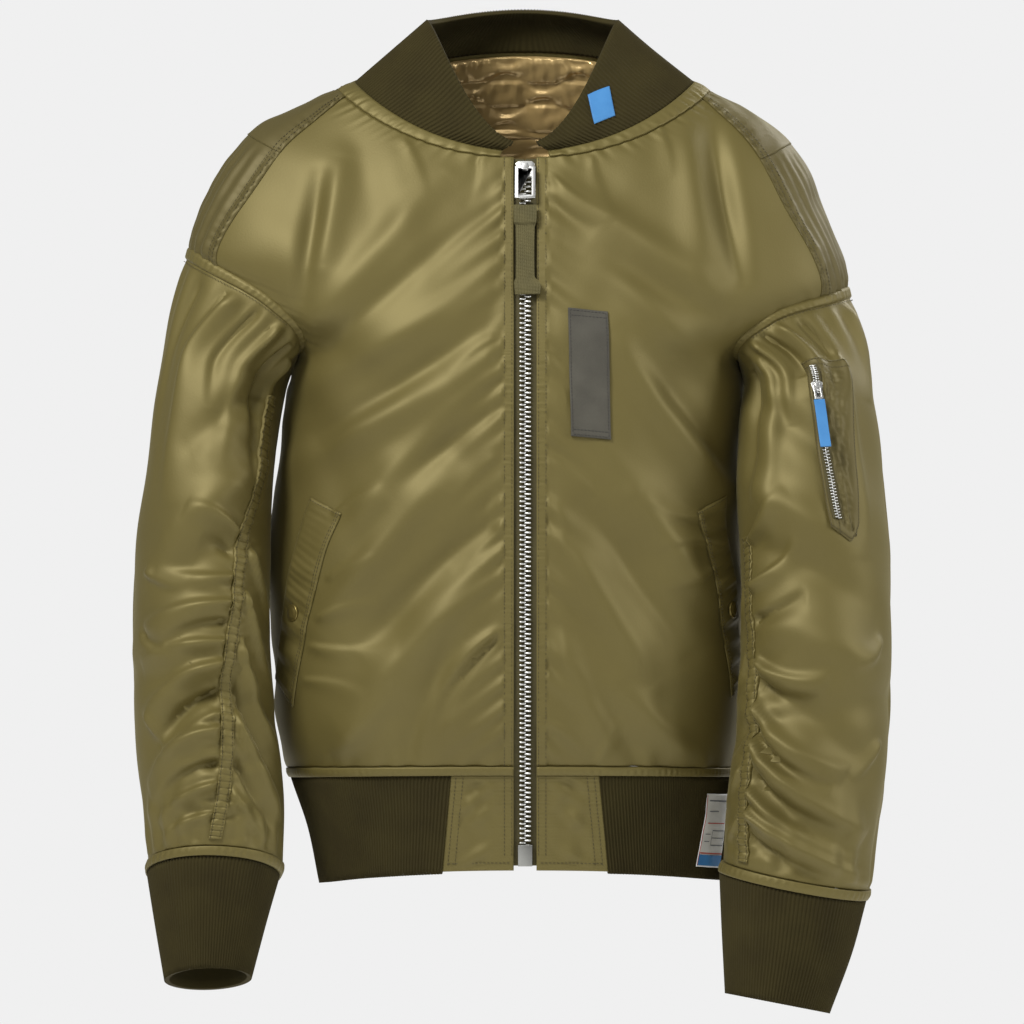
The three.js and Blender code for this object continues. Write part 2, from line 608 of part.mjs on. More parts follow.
// The saddle over a shoulder, in two pieces either side of its cross seam.
function saddlePanel(side, upper) {
  const levels = upper ? UPPER_SADDLE_LEVELS : LOWER_SADDLE_LEVELS;
  const top = levels[levels.length - 1];
  const point = (a, b, out) => {
    const across = 2 * a - 1;
    const edgeLevel = spread(levels, b);
    const raised = upper ? 0 : armholeTopLevel(across * SADDLE.armholeHalf) - SADDLE_FOOT;
    const level = edgeLevel + raised * (top - edgeLevel) / (top - levels[0]);
    const round = across * (saddleHalfAngle(edgeLevel) - SEAM_ANGLE);
    return bodyPoint(side * (90 + round), level, out);
  };
  const name = `saddle_${upper ? 'upper' : 'lower'}_${sideName(side)}`;
  return panel(name, SATIN_DARK, point, 8, levels.length - 1, SHELL);
}

function sleeve(side) {
  const name = `sleeve_${sideName(side)}`;
  return panel(name, SATIN, sleeveSurface(side), SLEEVE_COLUMNS, SLEEVE_RANKS, SHELL, { closed: true });
}

// The bound seam between the armhole and the sleeve. It is flat where the sleeve meets the body's side.
function armholeBinding(side) {
  const point = (a, b, out) => sleevePoint(side, FULL_TURN * a, mix(0.005, SLEEVE_START - 0.002, b), out);
  const raised = (a) => BINDING * smooth(35, 100, Math.abs(FULL_TURN * a - 180));
  const name = `armhole_seam_${sideName(side)}`;
  return piece(name, wallGeometry(point, SLEEVE_COLUMNS, 1, -SHELL, raised, true), SATIN_DARK);
}

function ribCuff(side) {
  const point = (a, b, out) => cuffPoint(side, FULL_TURN * a, b, out);
  return panel(`cuff_${sideName(side)}`, RIB_OLIVE, point, SLEEVE_COLUMNS, 3, RIB_KNIT, { closed: true });
}

// The satin strip between a sleeve and its cuff.
function cuffBinding(side) {
  const point = (a, b, out) => {
    const top = sleevePoint(side, FULL_TURN * a, 1, out);
    return top.lerp(cuffPoint(side, FULL_TURN * a, 0, out), mix(0.05, 0.95, b));
  };
  const name = `cuff_binding_${sideName(side)}`;
  return panel(name, SATIN, point, SLEEVE_COLUMNS, 1, SHELL + BINDING, { closed: true, lift: BINDING });
}

const COLLAR_END = 6.2;
const COLLAR_COLUMNS = 36;

function collarSurface(a, b, out) {
  return collarPoint(signedAngle(mix(COLLAR_END, FULL_TURN - COLLAR_END, a)), b, out);
}
const onCollar = sampled(collarSurface, COLLAR_COLUMNS, 4);

function collar() {
  return panel('collar', RIB_OLIVE, collarSurface, COLLAR_COLUMNS, 4, RIB_KNIT);
}

function neckBinding() {
  const point = (a, b, out) => {
    const angle = signedAngle(mix(COLLAR_END, FULL_TURN - COLLAR_END, a));
    const foot = bodyPoint(angle, NECK_TOP, out);
    return foot.lerp(collarPoint(angle, 0, out), mix(0.08, 0.84, b));
  };
  return panel('neck_binding', SATIN, point, COLLAR_COLUMNS, 1, SHELL + BINDING, { lift: BINDING });
}

const HEM_FOOT = -0.18;
const HEM_COLUMNS = 40;
const HEM_BINDING_HALF = 0.0073;

// Distance from the zip to the edge of the satin panel at the front of the hem.
function hemPanelEdge(level) {
  return 61 + 8 * level / HEM_FOOT;
}

function hemSurface(a, b, out) {
  const level = mix(HEM_FOOT, -HEM_TOP, b);
  const edge = hemPanelEdge(level) + SEAM_GAP;
  const from = angleBesideZip(edge, level);
  const to = FULL_TURN + angleBesideZip(-edge, level);
  return bodyPoint(signedAngle(mix(from, to, a)), level, out);
}
const onHem = sampled(hemSurface, HEM_COLUMNS, 3);

function hemRib() {
  return panel('hem_rib', RIB_OLIVE, hemSurface, HEM_COLUMNS, 3, RIB_KNIT);
}

function hemBinding() {
  const point = (a, b, out) => {
    const level = mix(-HEM_BINDING_HALF, HEM_BINDING_HALF, b);
    const from = angleBesideZip(ZIP_EDGE, level);
    const to = FULL_TURN + angleBesideZip(-ZIP_EDGE, level);
    return bodyPoint(signedAngle(mix(from, to, a)), level, out);
  };
  return panel('hem_binding', SATIN, point, 44, 1, SHELL + BINDING, { lift: BINDING });
}

function hemFrontPanel(side) {
  const foot = HEM_FOOT + 0.004;
  const point = (a, b, out) => {
    const level = mix(foot, -HEM_TOP, b);
    const from = angleBesideZip(side * ZIP_EDGE, level);
    const to = angleBesideZip(side * (hemPanelEdge(level) - SEAM_GAP), level);
    return bodyPoint(mix(from, to, a), level, out);
  };
  return panel(`hem_front_${sideName(side)}`, SATIN, point, 4, 3, SHELL);
}

const TAPE_INNER = 0.4;
const TAPE_OUTER = 15;
const TAPE_DEPTH = SHELL + 0.5;
const CHAIN_HALF = 4.6;
const CHAIN_TOP = 0.8;
const CHAIN_HIGH = 0.945;
const CHAIN_LOW = -0.128;
const ZIP_LEVELS = [HEM_FOOT + 0.012, -0.1, -0.04, ...PANEL_LEVELS];

function zipTape(side) {
  const point = (a, b, out) => {
    const level = spread(ZIP_LEVELS, b);
    const x = mix(TAPE_INNER, TAPE_OUTER, a);
    return bodyPoint(angleBesideZip(side * x, level), level, out);
  };
  const options = { lift: -TAPE_DEPTH };
  return panel(`zip_tape_${sideName(side)}`, TAPE, point, 1, ZIP_LEVELS.length - 1, TRIM, options);
}

function zipStrip(name, finish, from, to, half, top) {
  const inner = ZIP_LEVELS.filter((level) => level > from && level < to);
  const levels = [from, ...inner, to];
  const point = (a, b, out) => {
    const level = spread(levels, b);
    return bodyPoint(angleBesideZip(mix(-half, half, a), level), level, out);
  };
  return panel(name, finish, point, 1, levels.length - 1, top + TAPE_DEPTH - SEAM_GAP, { lift: top });
}

// Turns and moves a mesh so that it sits on the front, with its own Z pointing out of the cloth.
function seatOn(mesh, origin, across, normal) {
  const up = normal.clone().cross(across).normalize();
  const side = up.clone().cross(normal).normalize();
  mesh.matrixAutoUpdate = true;
  mesh.quaternion.setFromRotationMatrix(new THREE.Matrix4().makeBasis(side, up, normal));
  mesh.position.copy(origin);
  return mesh;
}

const manifold = await Module();
manifold.setup();

function solidOf(geometry) {
  const bare = geometry.clone().deleteAttribute('normal').deleteAttribute('uv');
  const merged = mergeVertices(bare, 1e-4);
  return new manifold.Manifold(new manifold.Mesh({
    numProp: 3,
    vertProperties: new Float32Array(merged.attributes.position.array),
    triVerts: new Uint32Array(merged.index.array),
  }));
}

function joined(geometries) {
  const [first, ...others] = geometries.map(solidOf);
  const result = others.reduce((whole, next) => whole.add(next), first).getMesh();
  const geometry = new THREE.BufferGeometry();
  geometry.setAttribute('position', new THREE.BufferAttribute(result.vertProperties, 3));
  geometry.setIndex(new THREE.BufferAttribute(result.triVerts, 1));
  geometry.computeVertexNormals();
  return geometry;
}

// A plate drawn in its own X and Y, standing out along Z.
function plate(outline, depth, from) {
  const shape = new THREE.Shape(outline.map(([x, y]) => new THREE.Vector2(x, y)));
  const geometry = new THREE.ExtrudeGeometry(shape, { depth, bevelEnabled: false });
  return geometry.translate(0, 0, from);
}

function box(width, height, depth, x, y, from) {
  return new THREE.BoxGeometry(width, height, depth).translate(x, y, from + depth / 2);
}

// The slider's plate with the arch that its pull turns in. The pivot is the arch's middle.
const SLIDER = { width: 16, height: 15, thick: 3.2, lift: 1.2, archWidth: 5, archClear: 1.75, archWall: 1.2 };

function sliderGeometry(scale, size) {
  const { width, height, thick, lift, archWidth, archClear, archWall } = size;
  const half = width / 2;
  const outline = [[-half, height * 0.35], [-half * 0.7, height / 2], [half * 0.7, height / 2],
    [half, height * 0.35], [half * 0.72, -height / 2], [-half * 0.72, -height / 2]];
  const face = lift + thick;
  const sink = 0.4;
  const tall = 2 * archClear + archWall + sink;
  const post = archClear + archWall / 2;
  const parts = [
    plate(outline, thick, lift),
    box(archWidth, archWall, tall, 0, post, face - sink),
    box(archWidth, archWall, tall, 0, -post, face - sink),
    box(archWidth, 2 * post + archWall, archWall, 0, 0, face + 2 * archClear),
  ];
  return joined(parts).scale(scale, scale, scale);
}

// The open metal frame of a pull. Its top bar is centred on the pivot.
function pullFrameGeometry({ width, length, bar, thick }) {
  const middle = (thick - length) / 2;
  const side = (width - bar) / 2;
  const foot = thick / 2 - length + bar / 2;
  return joined([
    box(width, thick, thick, 0, 0, -thick / 2),
    box(width, bar, thick, 0, foot, -thick / 2),
    box(bar, length, thick, side, middle, -thick / 2),
    box(bar, length, thick, -side, middle, -thick / 2),
  ]);
}

const PULL_Z = -62;
const PULL_FRAME = { width: 17, length: 30, bar: 3, thick: 2 };
const PULL_STRAP = { top: -93.2, neck: -108, flare: -154, foot: -166, wide: 9.5, narrow: 7.6, end: 11 };

function centreFront(z, out) {
  const level = frontPlace(0.01, z).level;
  return bodyPoint(0, level, out);
}

function mainPullSeat() {
  const origin = centreFront(PULL_Z, 0);
  const normal = centreFront(PULL_Z, 1).sub(origin).normalize();
  return { origin, normal, across: new THREE.Vector3(1, 0, 0) };
}

function mainSlider() {
  const seat = mainPullSeat();
  const mesh = piece('zip_slider', sliderGeometry(1, SLIDER), SILVER);
  return seatOn(mesh, seat.origin, seat.across, seat.normal);
}

function mainPullFrame() {
  const seat = mainPullSeat();
  const out = SLIDER.lift + SLIDER.thick + SLIDER.archClear;
  const pivot = seat.origin.clone().addScaledVector(seat.normal, out);
  const mesh = piece('zip_pull', pullFrameGeometry(PULL_FRAME), SILVER);
  return seatOn(mesh, pivot, seat.across, seat.normal);
}

function mainPullStrap() {
  const { top, neck, flare, foot, wide, narrow, end } = PULL_STRAP;
  const rows = [
    { z: top, half: wide, out: 6.6 },
    { z: neck, half: wide, out: 5.2 },
    { z: neck - 3, half: narrow, out: 4.6 },
    { z: -124, half: narrow, out: 3.8 },
    { z: -140, half: narrow, out: 3.6 },
    { z: flare, half: narrow, out: 3.8 },
    { z: flare - 5, half: end, out: 4.4 },
    { z: foot, half: end, out: 4.8 },
  ];
  const point = (a, b, out) => {
    const at = b * (rows.length - 1);
    const row = rows[Math.round(at)];
    const half = mix(-row.half, row.half, a);
    return centreFront(row.z, out + row.out).add(new THREE.Vector3(half, 0, 0));
  };
  return panel('zip_pull_strap', WEBBING, point, 1, rows.length - 1, 1.9);
}

function chestPatch() {
  const corners = { left: 35.5, right: 68.5, top: -177, foot: -283, drop: -3, lean: 2.5 };
  const point = (a, b, out) => {
    const x = mix(corners.left, corners.right, a) + corners.lean * (1 - b);
    const z = mix(corners.foot, corners.top, b) + corners.drop * a;
    return frontSeen(x, z, out);
  };
  return panel('chest_patch', PATCH_GREY, point, 4, 8, 1.4, { lift: LIFT + 1.6 });
}

// The slanting welt of a hand pocket, from its upper front corner to its lower back corner.
const WELTS = {
  1: { top: [50, 65], foot: [69, 83], topLevel: [0.4, 0.43], footLevel: [0.12, 0.15] },
  '-1': { top: [44, 58], foot: [66, 80], topLevel: [0.395, 0.425], footLevel: [0.105, 0.15] },
};
const SNAP = { radius: 7.5, thick: 3, across: 0.5, along: 0.42 };

function weltPoint(side) {
  const welt = WELTS[side];
  return (a, b, out) => {
    const angle = mix(mix(...welt.foot, a), mix(...welt.top, a), b);
    const level = mix(mix(...welt.footLevel, a), mix(...welt.topLevel, a), b);
    return frontAt(side, angle, level, out);
  };
}

function pocketWelt(side) {
  return panel(`pocket_welt_${sideName(side)}`, SATIN, weltPoint(side), 3, 10, 1.6, { lift: LIFT + 2.9 });
}

function pocketSnap(side) {
  const point = weltPoint(side);
  const seat = point(SNAP.across, SNAP.along, LIFT + 3.3);
  const normal = point(SNAP.across, SNAP.along, 1).sub(point(SNAP.across, SNAP.along, 0)).normalize();
  const disc = new THREE.CylinderGeometry(SNAP.radius - 1.5, SNAP.radius, SNAP.thick, 20);
  disc.rotateX(Math.PI / 2).translate(0, 0, SNAP.thick / 2);
  const mesh = piece(`pocket_snap_${sideName(side)}`, disc, BRASS);
  return seatOn(mesh, seat, new THREE.Vector3(1, 0, 0), normal);
}

// The gathered strip down a sleeve. Its waves run all its length.
const GATHER_STRIP = { width: 12, waves: 36, height: 0.9, thick: 1.6 };

function gatherStrip(side) {
  const rows = side > 0 ? LEFT_GATHER_LINE : RIGHT_GATHER_LINE;
  const first = rows[0].along;
  const last = rows[rows.length - 1].along;
  const waves = Math.round(GATHER_STRIP.waves * (last - first) / 0.8);
  const degrees = GATHER_STRIP.width / SLEEVE_RADIUS / DEGREE;
  const point = (a, b, out) => {
    const along = mix(first, last, b);
    return sleeveAt(side, rowAt(rows, 'along', along).turn + (a - 0.5) * degrees, along, out);
  };
  const raised = (a, b) => {
    const middle = 1 - Math.abs(2 * a - 1);
    return LIFT + 2.2 + (0.5 + middle) * GATHER_STRIP.height * Math.cos(b * waves * 2 * Math.PI);
  };
  const name = `gather_strip_${sideName(side)}`;
  const geometry = wallGeometry(point, 2, 2 * waves, LIFT + 0.3, raised, false);
  return piece(name, geometry, SATIN_DARK);
}

// The pocket on the wearer's left sleeve, with its own short zip.
const SLEEVE_POCKET = {
  topTurn: [93, 54], footTurn: [80, 57], top: [0.115, 0.125], foot: [0.41, 0.445],
};
const SLEEVE_ZIP = { topTurn: 86, footTurn: 74, top: 0.135, foot: 0.395, width: 6, thick: 1.2 };
const SLEEVE_POCKET_OUT = LIFT + 2.8;

function pocketPanel() {
  const { topTurn, footTurn, top, foot } = SLEEVE_POCKET;
  const point = (a, b, out) => {
    const turn = mix(mix(...footTurn, a), mix(...topTurn, a), b);
    const along = mix(mix(...foot, a), mix(...top, a), b);
    return sleeveAt(1, turn, along, out);
  };
  return panel('sleeve_pocket', SATIN_DARK, point, 5, 12, 1.6, { lift: SLEEVE_POCKET_OUT - 0.3 });
}

function sleeveZipPoint(across, b, out) {
  const { topTurn, footTurn, top, foot } = SLEEVE_ZIP;
  const along = mix(foot, top, b);
  return sleeveAt(1, mix(footTurn, topTurn, b) - across / SLEEVE_RADIUS / DEGREE, along, out);
}

function sleeveZip() {
  const half = SLEEVE_ZIP.width / 2;
  const point = (a, b, out) => sleeveZipPoint(mix(-half, half, a), b, out);
  const options = { lift: SLEEVE_POCKET_OUT + 0.4 + SLEEVE_ZIP.thick };
  return panel('sleeve_zip', SILVER, point, 1, 12, SLEEVE_ZIP.thick, options);
}

const SLEEVE_SLIDER = { share: 0.82, scale: 0.62 };
const SLEEVE_PULL = { width: 7, length: 13, bar: 1.6, thick: 1.2 };
const SLEEVE_TAG = { width: 9, length: 44, thick: 1.4, gap: 0.5 };

function sleevePullSeat() {
  const out = SLEEVE_POCKET_OUT + SLEEVE_ZIP.thick;
  const origin = sleeveZipPoint(0, SLEEVE_SLIDER.share, out);
  const normal = sleeveZipPoint(0, SLEEVE_SLIDER.share, out + 1).sub(origin).normalize();
  const up = sleeveZipPoint(0, SLEEVE_SLIDER.share + 0.1, out).sub(origin).normalize();
  const across = up.clone().cross(normal).normalize();
  return { origin, normal, across };
}

function sleevePullPivot(seat) {
  const out = (SLIDER.lift + SLIDER.thick + SLIDER.archClear) * SLEEVE_SLIDER.scale;
  return seat.origin.clone().addScaledVector(seat.normal, out);
}

function sleeveSlider() {
  const seat = sleevePullSeat();
  const mesh = piece('sleeve_zip_slider', sliderGeometry(SLEEVE_SLIDER.scale, SLIDER), SILVER);
  return seatOn(mesh, seat.origin, seat.across, seat.normal);
}

function sleevePull() {
  const seat = sleevePullSeat();
  const mesh = piece('sleeve_zip_pull', pullFrameGeometry(SLEEVE_PULL), SILVER);
  return seatOn(mesh, sleevePullPivot(seat), seat.across, seat.normal);
}

function sleeveTag() {
  const seat = sleevePullSeat();
  const { width, length, thick, gap } = SLEEVE_TAG;
  const top = SLEEVE_PULL.thick / 2 - SLEEVE_PULL.length - gap;
  const half = width / 2;
  const outline = [[-half, top - length], [half, top - length], [half, top], [-half, top]];
  const mesh = piece('sleeve_zip_tag', plate(outline, thick, -thick / 2), BLUE);
  return seatOn(mesh, sleevePullPivot(seat), seat.across, seat.normal);
}

function collarLabel() {
  const size = { from: 0.078, to: 0.108, low: 0.42, high: 0.97, slant: 0.012 };
  const point = (a, b, out) => {
    const angle = mix(size.from, size.to, a) + size.slant * b;
    return onCollar(angle, mix(size.low, size.high, b), out);
  };
  return panel('collar_label', BLUE, point, 3, 3, 1, { lift: LIFT + 1.2 });
}

function hemLabel() {
  const size = { from: 0.105, to: 0.155, low: 0.12, high: 0.84, slant: 0.02 };
  const point = (a, b, out) => {
    const angle = mix(size.from, size.to, a) + size.slant * b;
    return onHem(angle, mix(size.low, size.high, b), out);
  };
  return panel('hem_label', LABEL_WHITE, point, 3, 4, 1, { lift: LIFT + 1.3 });
}

// The lining that shows through the neck, an upper piece over a lower one. Both keep to the
// back panel's own columns and rows.
const LINING_COLUMNS = { from: 5, to: 17 };

function liningPiece(name, fromRow, toRow, depth) {
  const { from, to } = LINING_COLUMNS;
  const point = (a, b, out) => {
    const column = mix(from, to, a) / BACK_COLUMNS;
    return onBack(column, mix(fromRow, toRow, b) / PANEL_ROWS, out);
  };
  return panel(name, LINING, point, to - from, toRow - fromRow, 2, { lift: -SHELL - depth });
}

const jacket = new THREE.Group();
for (const side of [1, -1]) {
  jacket.add(frontPanel(side), saddlePanel(side, true), saddlePanel(side, false));
  jacket.add(sleeve(side), armholeBinding(side), cuffBinding(side), ribCuff(side));
  jacket.add(hemFrontPanel(side), zipTape(side), pocketWelt(side), pocketSnap(side));
  jacket.add(gatherStrip(side));
}
jacket.add(backPanel(), collar(), neckBinding(), hemRib(), hemBinding());
jacket.add(liningPiece('lining_yoke', 17, 21, 3.2), liningPiece('lining_back', 12, 18, 0.7));
jacket.add(zipStrip('zip_teeth', SILVER, CHAIN_LOW, CHAIN_HIGH, CHAIN_HALF, CHAIN_TOP));
jacket.add(zipStrip('zip_box', SILVER, HEM_FOOT + 0.012, CHAIN_LOW - 0.0015, 6, 2));
jacket.add(mainSlider(), mainPullFrame(), mainPullStrap());
jacket.add(chestPatch(), pocketPanel(), sleeveZip(), sleeveSlider(), sleevePull(), sleeveTag());
jacket.add(collarLabel(), hemLabel());

export default jacket;
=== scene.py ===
"""A zipped bomber jacket, filled out as if worn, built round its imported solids.

The front faces -Y, the wearer's left is +X and Z is up. Shapes are worked out in
millimetres and turned into metres when a mesh is made.
"""
import math

import bmesh
import bpy
import numpy as np
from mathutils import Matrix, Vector


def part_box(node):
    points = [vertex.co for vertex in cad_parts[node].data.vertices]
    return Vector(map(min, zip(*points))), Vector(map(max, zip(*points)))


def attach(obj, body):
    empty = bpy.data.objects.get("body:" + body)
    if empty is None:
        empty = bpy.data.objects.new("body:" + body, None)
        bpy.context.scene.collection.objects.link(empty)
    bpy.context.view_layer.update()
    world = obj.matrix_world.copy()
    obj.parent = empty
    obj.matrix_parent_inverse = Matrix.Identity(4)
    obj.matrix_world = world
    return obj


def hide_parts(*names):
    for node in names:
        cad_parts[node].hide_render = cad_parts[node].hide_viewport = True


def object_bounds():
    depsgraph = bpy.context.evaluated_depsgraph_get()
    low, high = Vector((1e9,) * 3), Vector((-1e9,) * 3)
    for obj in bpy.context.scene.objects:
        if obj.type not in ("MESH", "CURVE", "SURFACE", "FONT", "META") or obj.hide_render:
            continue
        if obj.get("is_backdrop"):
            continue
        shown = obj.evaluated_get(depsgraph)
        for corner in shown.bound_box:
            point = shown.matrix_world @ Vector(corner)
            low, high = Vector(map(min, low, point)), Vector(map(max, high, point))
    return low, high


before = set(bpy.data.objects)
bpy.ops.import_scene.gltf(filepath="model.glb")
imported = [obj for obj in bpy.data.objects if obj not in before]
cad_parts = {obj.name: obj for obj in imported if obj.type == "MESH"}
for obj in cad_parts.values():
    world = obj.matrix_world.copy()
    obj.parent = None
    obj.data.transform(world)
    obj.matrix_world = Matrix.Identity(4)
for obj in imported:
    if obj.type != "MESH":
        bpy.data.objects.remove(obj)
CAD_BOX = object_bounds()

MM = 0.001
SHELL = 2.4
RIB_KNIT = 3.6
BINDING = 1.6
LEFT, RIGHT = 1, -1
SIDE_NAMES = {LEFT: "left", RIGHT: "right"}

# Rings of the body from the hem's foot to the neck seam: level, heights of the front, back,
# right and left, then reach to the right, left, front and back, and squareness.
BODY_RINGS = np.array([
    [-0.18, -646, -645, -657, -655, 172, 169, 112, 104, 2.3],
    [-0.09, -604, -605, -610, -610, 182, 173, 118, 110, 2.3],
    [0.0, -561, -566, -564, -564, 198, 176, 127, 117, 2.3],
    [0.08, -520, -524, -524, -524, 208, 181, 141, 127, 2.3],
    [0.22, -440, -444, -446, -446, 210, 182, 143, 126, 2.3],
    [0.4, -340, -340, -350, -350, 207, 179, 140, 122, 2.3],
    [0.54, -262, -252, -275, -275, 196, 178, 136, 122, 2.35],
    [0.62, -216, -200, -212, -218, 190, 179, 132, 124, 2.6],
    [0.7, -174, -142, -168, -190, 244, 234, 124, 124, 2.8],
    [0.77, -140, -92, -127, -160, 281, 270, 116, 120, 2.7],
    [0.84, -108, -45, -72, -88, 263, 249, 106, 112, 2.5],
    [0.91, -80, -6, -22, -28, 222, 214, 95, 101, 2.3],
    [1.0, -46, 42, 12, 12, 146, 145, 78, 80, 2.2],
])
BODY_DROP = 1.8

# Rings of the collar, from its seam to its free edge, with how fast each drops to the front.
COLLAR_RINGS = np.array([
    [0.0, -44.5, 43.5, 13.5, 13.5, 144, 143, 77.5, 79, 2.2, 1.8],
    [0.45, -42, 64, 42, 42, 111, 107, 82, 73, 2.15, 2.0],
    [1.0, -38, 78, 67, 67, 82, 78, 80, 54, 2.1, 2.4],
])

ARMHOLE_LEVEL = 0.695
ARMHOLE_HALF_LEVEL = 0.075
ARMHOLE_HALF_ANGLE = 34
SADDLE_NECK_HALF = 14
SADDLE_ARM_HALF = 24
SADDLE_BOW = 12
SADDLE_CROSS_LEVEL = 0.9

# Rings of a sleeve or cuff: along, x, y, z, half width, half depth, roll and pitch.
SLEEVE_RINGS = {
    RIGHT: np.array([
        [0.0, 236, -1, -171, 58, 66, -41, 0],
        [0.1, 248, -6, -209, 55, 72, -22, 3],
        [0.2, 256, -19, -252, 53, 75, -10, 9],
        [0.33, 264, -35, -320, 53, 76, -4, 12],
        [0.48, 270, -50, -395, 57, 75, 0, 10],
        [0.6, 270, -59, -454, 57, 73, 0, 9],
        [0.72, 267.5, -66, -515, 59, 70, 0, 10],
        [0.86, 260, -73, -585, 59, 67, 0, 13],
        [1.0, 258, -79, -639, 56, 60, -1, 16],
    ]),
    LEFT: np.array([
        [0.0, 223, -2, -187, 54, 66, -32, 0],
        [0.1, 235, -18, -226, 54, 72, -14, 8],
        [0.2, 236, -40, -268, 57.5, 75, -5, 12],
        [0.33, 239, -56, -335, 62, 76, 0, 11],
        [0.48, 243, -68, -405, 62.5, 75, 0, 9],
        [0.6, 242, -77, -470, 62.5, 74, 0, 6],
        [0.72, 239, -84, -530, 64, 71, 2, 3],
        [0.86, 232, -89, -590, 64, 68, 6, -1],
        [1.0, 226, -91, -648, 62, 60, 11, -4],
    ]),
}
CUFF_RINGS = {
    RIGHT: np.array([
        [0.0, 260, -81, -648, 55, 58, -1, 17],
        [0.4, 262, -87, -684, 47, 51, 0, 17],
        [1.0, 264, -95, -735, 36, 40, 2, 15],
    ]),
    LEFT: np.array([
        [0.0, 223, -92, -657, 62, 58, 11, -4],
        [0.45, 218, -94, -702, 55, 51, 11, -3],
        [1.0, 210, -96, -755, 44, 42, 11, 2],
    ]),
}
GATHER_LINES = {
    RIGHT: np.array([
        [0.19, 147], [0.36, 140], [0.48, 127], [0.6, 118], [0.74, 109], [0.985, 91],
    ]),
    LEFT: np.array([
        [0.41, 158], [0.5, 153], [0.63, 148], [0.78, 144], [0.985, 138],
    ]),
}
SLEEVE_LENGTH = 480
SLEEVE_RADIUS = 66


def row_at(rows, at):
    """A smooth curve through the rows of a table, read at the values of its first column."""
    at = np.asarray(at, float)
    last = len(rows) - 1
    index = np.clip(np.searchsorted(rows[:, 0], at) - 1, 0, last - 1)
    before, start = rows[np.maximum(index - 1, 0)], rows[index]
    end, after = rows[index + 1], rows[np.minimum(index + 2, last)]
    span = (end[..., 0] - start[..., 0])[..., None]
    t = (at - start[..., 0])[..., None] / span
    slope_start = (end - before) / (end[..., :1] - before[..., :1]) * span
    slope_end = (after - start) / (after[..., :1] - start[..., :1]) * span
    a = 2 * start - 2 * end + slope_start + slope_end
    b = 3 * end - 3 * start - 2 * slope_start - slope_end
    return ((a * t + b) * t + slope_start) * t + start


def mix(a, b, share):
    return a + (b - a) * share


def smooth(low, high, value):
    t = np.clip((value - low) / (high - low), 0, 1)
    return t * t * (3 - 2 * t)


def stack(x, y, z):
    return np.stack(np.broadcast_arrays(x, y, z), axis=-1)


def unit(vectors):
    return vectors / np.maximum(np.linalg.norm(vectors, axis=-1, keepdims=True), 1e-9)


def ring_point(ring, angle, drop):
    """A point of a ring. Angle 0 is centre front, 90 the wearer's left and 180 centre back."""
    front_z, back_z, right_z, left_z = (ring[..., i] for i in range(1, 5))
    right, left, front, back, square = (ring[..., i] for i in range(5, 10))
    sine, cosine = np.sin(np.radians(angle)), np.cos(np.radians(angle))
    reach = np.where(sine >= 0, left, right)
    side_z = np.where(sine >= 0, left_z, right_z)
    depth = np.where(cosine >= 0, -front, back)
    end_z = np.where(cosine >= 0, front_z, back_z)
    x = np.sign(sine) * reach * np.abs(sine) ** (2 / square)
    y = depth * np.abs(cosine) ** (2 / square)
    z = side_z + (end_z - side_z) * np.abs(cosine) ** drop
    return stack(x, y, z)


def body_base(angle, level):
    return ring_point(row_at(BODY_RINGS, level), angle, BODY_DROP)


def collar_base(angle, level):
    ring = row_at(COLLAR_RINGS, level)
    return ring_point(ring, angle, ring[..., 10])


def outward(base, first, second, first_step, second_step):
    """The outward direction of a surface given by two numbers."""
    across = base(first + first_step, second) - base(first - first_step, second)
    up = base(first, second + second_step) - base(first, second - second_step)
    return unit(np.cross(across, up))


def tube_base(rows, side, turn, along):
    """A ring of a sleeve. Turn 0 is the outer side, 90 the front and 180 the body's side."""
    ring = row_at(rows, along)
    x, y, z, across, deep = (ring[..., i] for i in range(1, 6))
    roll, pitch = np.radians(ring[..., 6]), np.radians(ring[..., 7])
    out = across * np.cos(np.radians(turn))
    fore = deep * np.sin(np.radians(turn))
    height = z - out * np.sin(roll) + fore * np.sin(pitch)
    return stack(side * (x + out * np.cos(roll)), y - fore * np.cos(pitch), height)


def armhole_base(side, turn):
    angle = 90 - ARMHOLE_HALF_ANGLE * np.sin(np.radians(turn))
    level = ARMHOLE_LEVEL + ARMHOLE_HALF_LEVEL * np.cos(np.radians(turn))
    return body_base(side * angle, level)


def sleeve_base(side, turn, along):
    """A sleeve's own rings, drawn into the armhole at its head."""
    rows = SLEEVE_RINGS[side]
    settled = smooth(0, 0.16, along)[..., None]
    start = tube_base(rows, side, turn, np.zeros_like(along))
    return tube_base(rows, side, turn, along) + (armhole_base(side, turn) - start) * (1 - settled)


def angle_beside_zip(x, level):
    """The angle at which a vertical line beside the zip crosses a level."""
    ring = row_at(BODY_RINGS, level)
    reach = np.where(np.asarray(x) >= 0, ring[..., 6], ring[..., 5])
    share = np.clip(np.abs(x) / reach, 0, 1)
    return np.sign(x) * np.degrees(np.arcsin(share ** (ring[..., 9] / 2)))


def armhole_top_level(round_side):
    share = np.clip(np.abs(round_side) / ARMHOLE_HALF_ANGLE, 0, 1)
    return ARMHOLE_LEVEL + ARMHOLE_HALF_LEVEL * np.sqrt(1 - share * share)


def front_place(x, z):
    """Angle and level of the place on the front of the body that is seen at x and z."""
    low = np.full(np.shape(x), BODY_RINGS[0, 0])
    high = np.ones(np.shape(x))
    for _ in range(26):
        middle = (low + high) / 2
        angle = angle_beside_zip(x, middle)
        below = body_base(angle, middle)[..., 2] < z
        low, high = np.where(below, middle, low), np.where(below, high, middle)
    return angle, (low + high) / 2


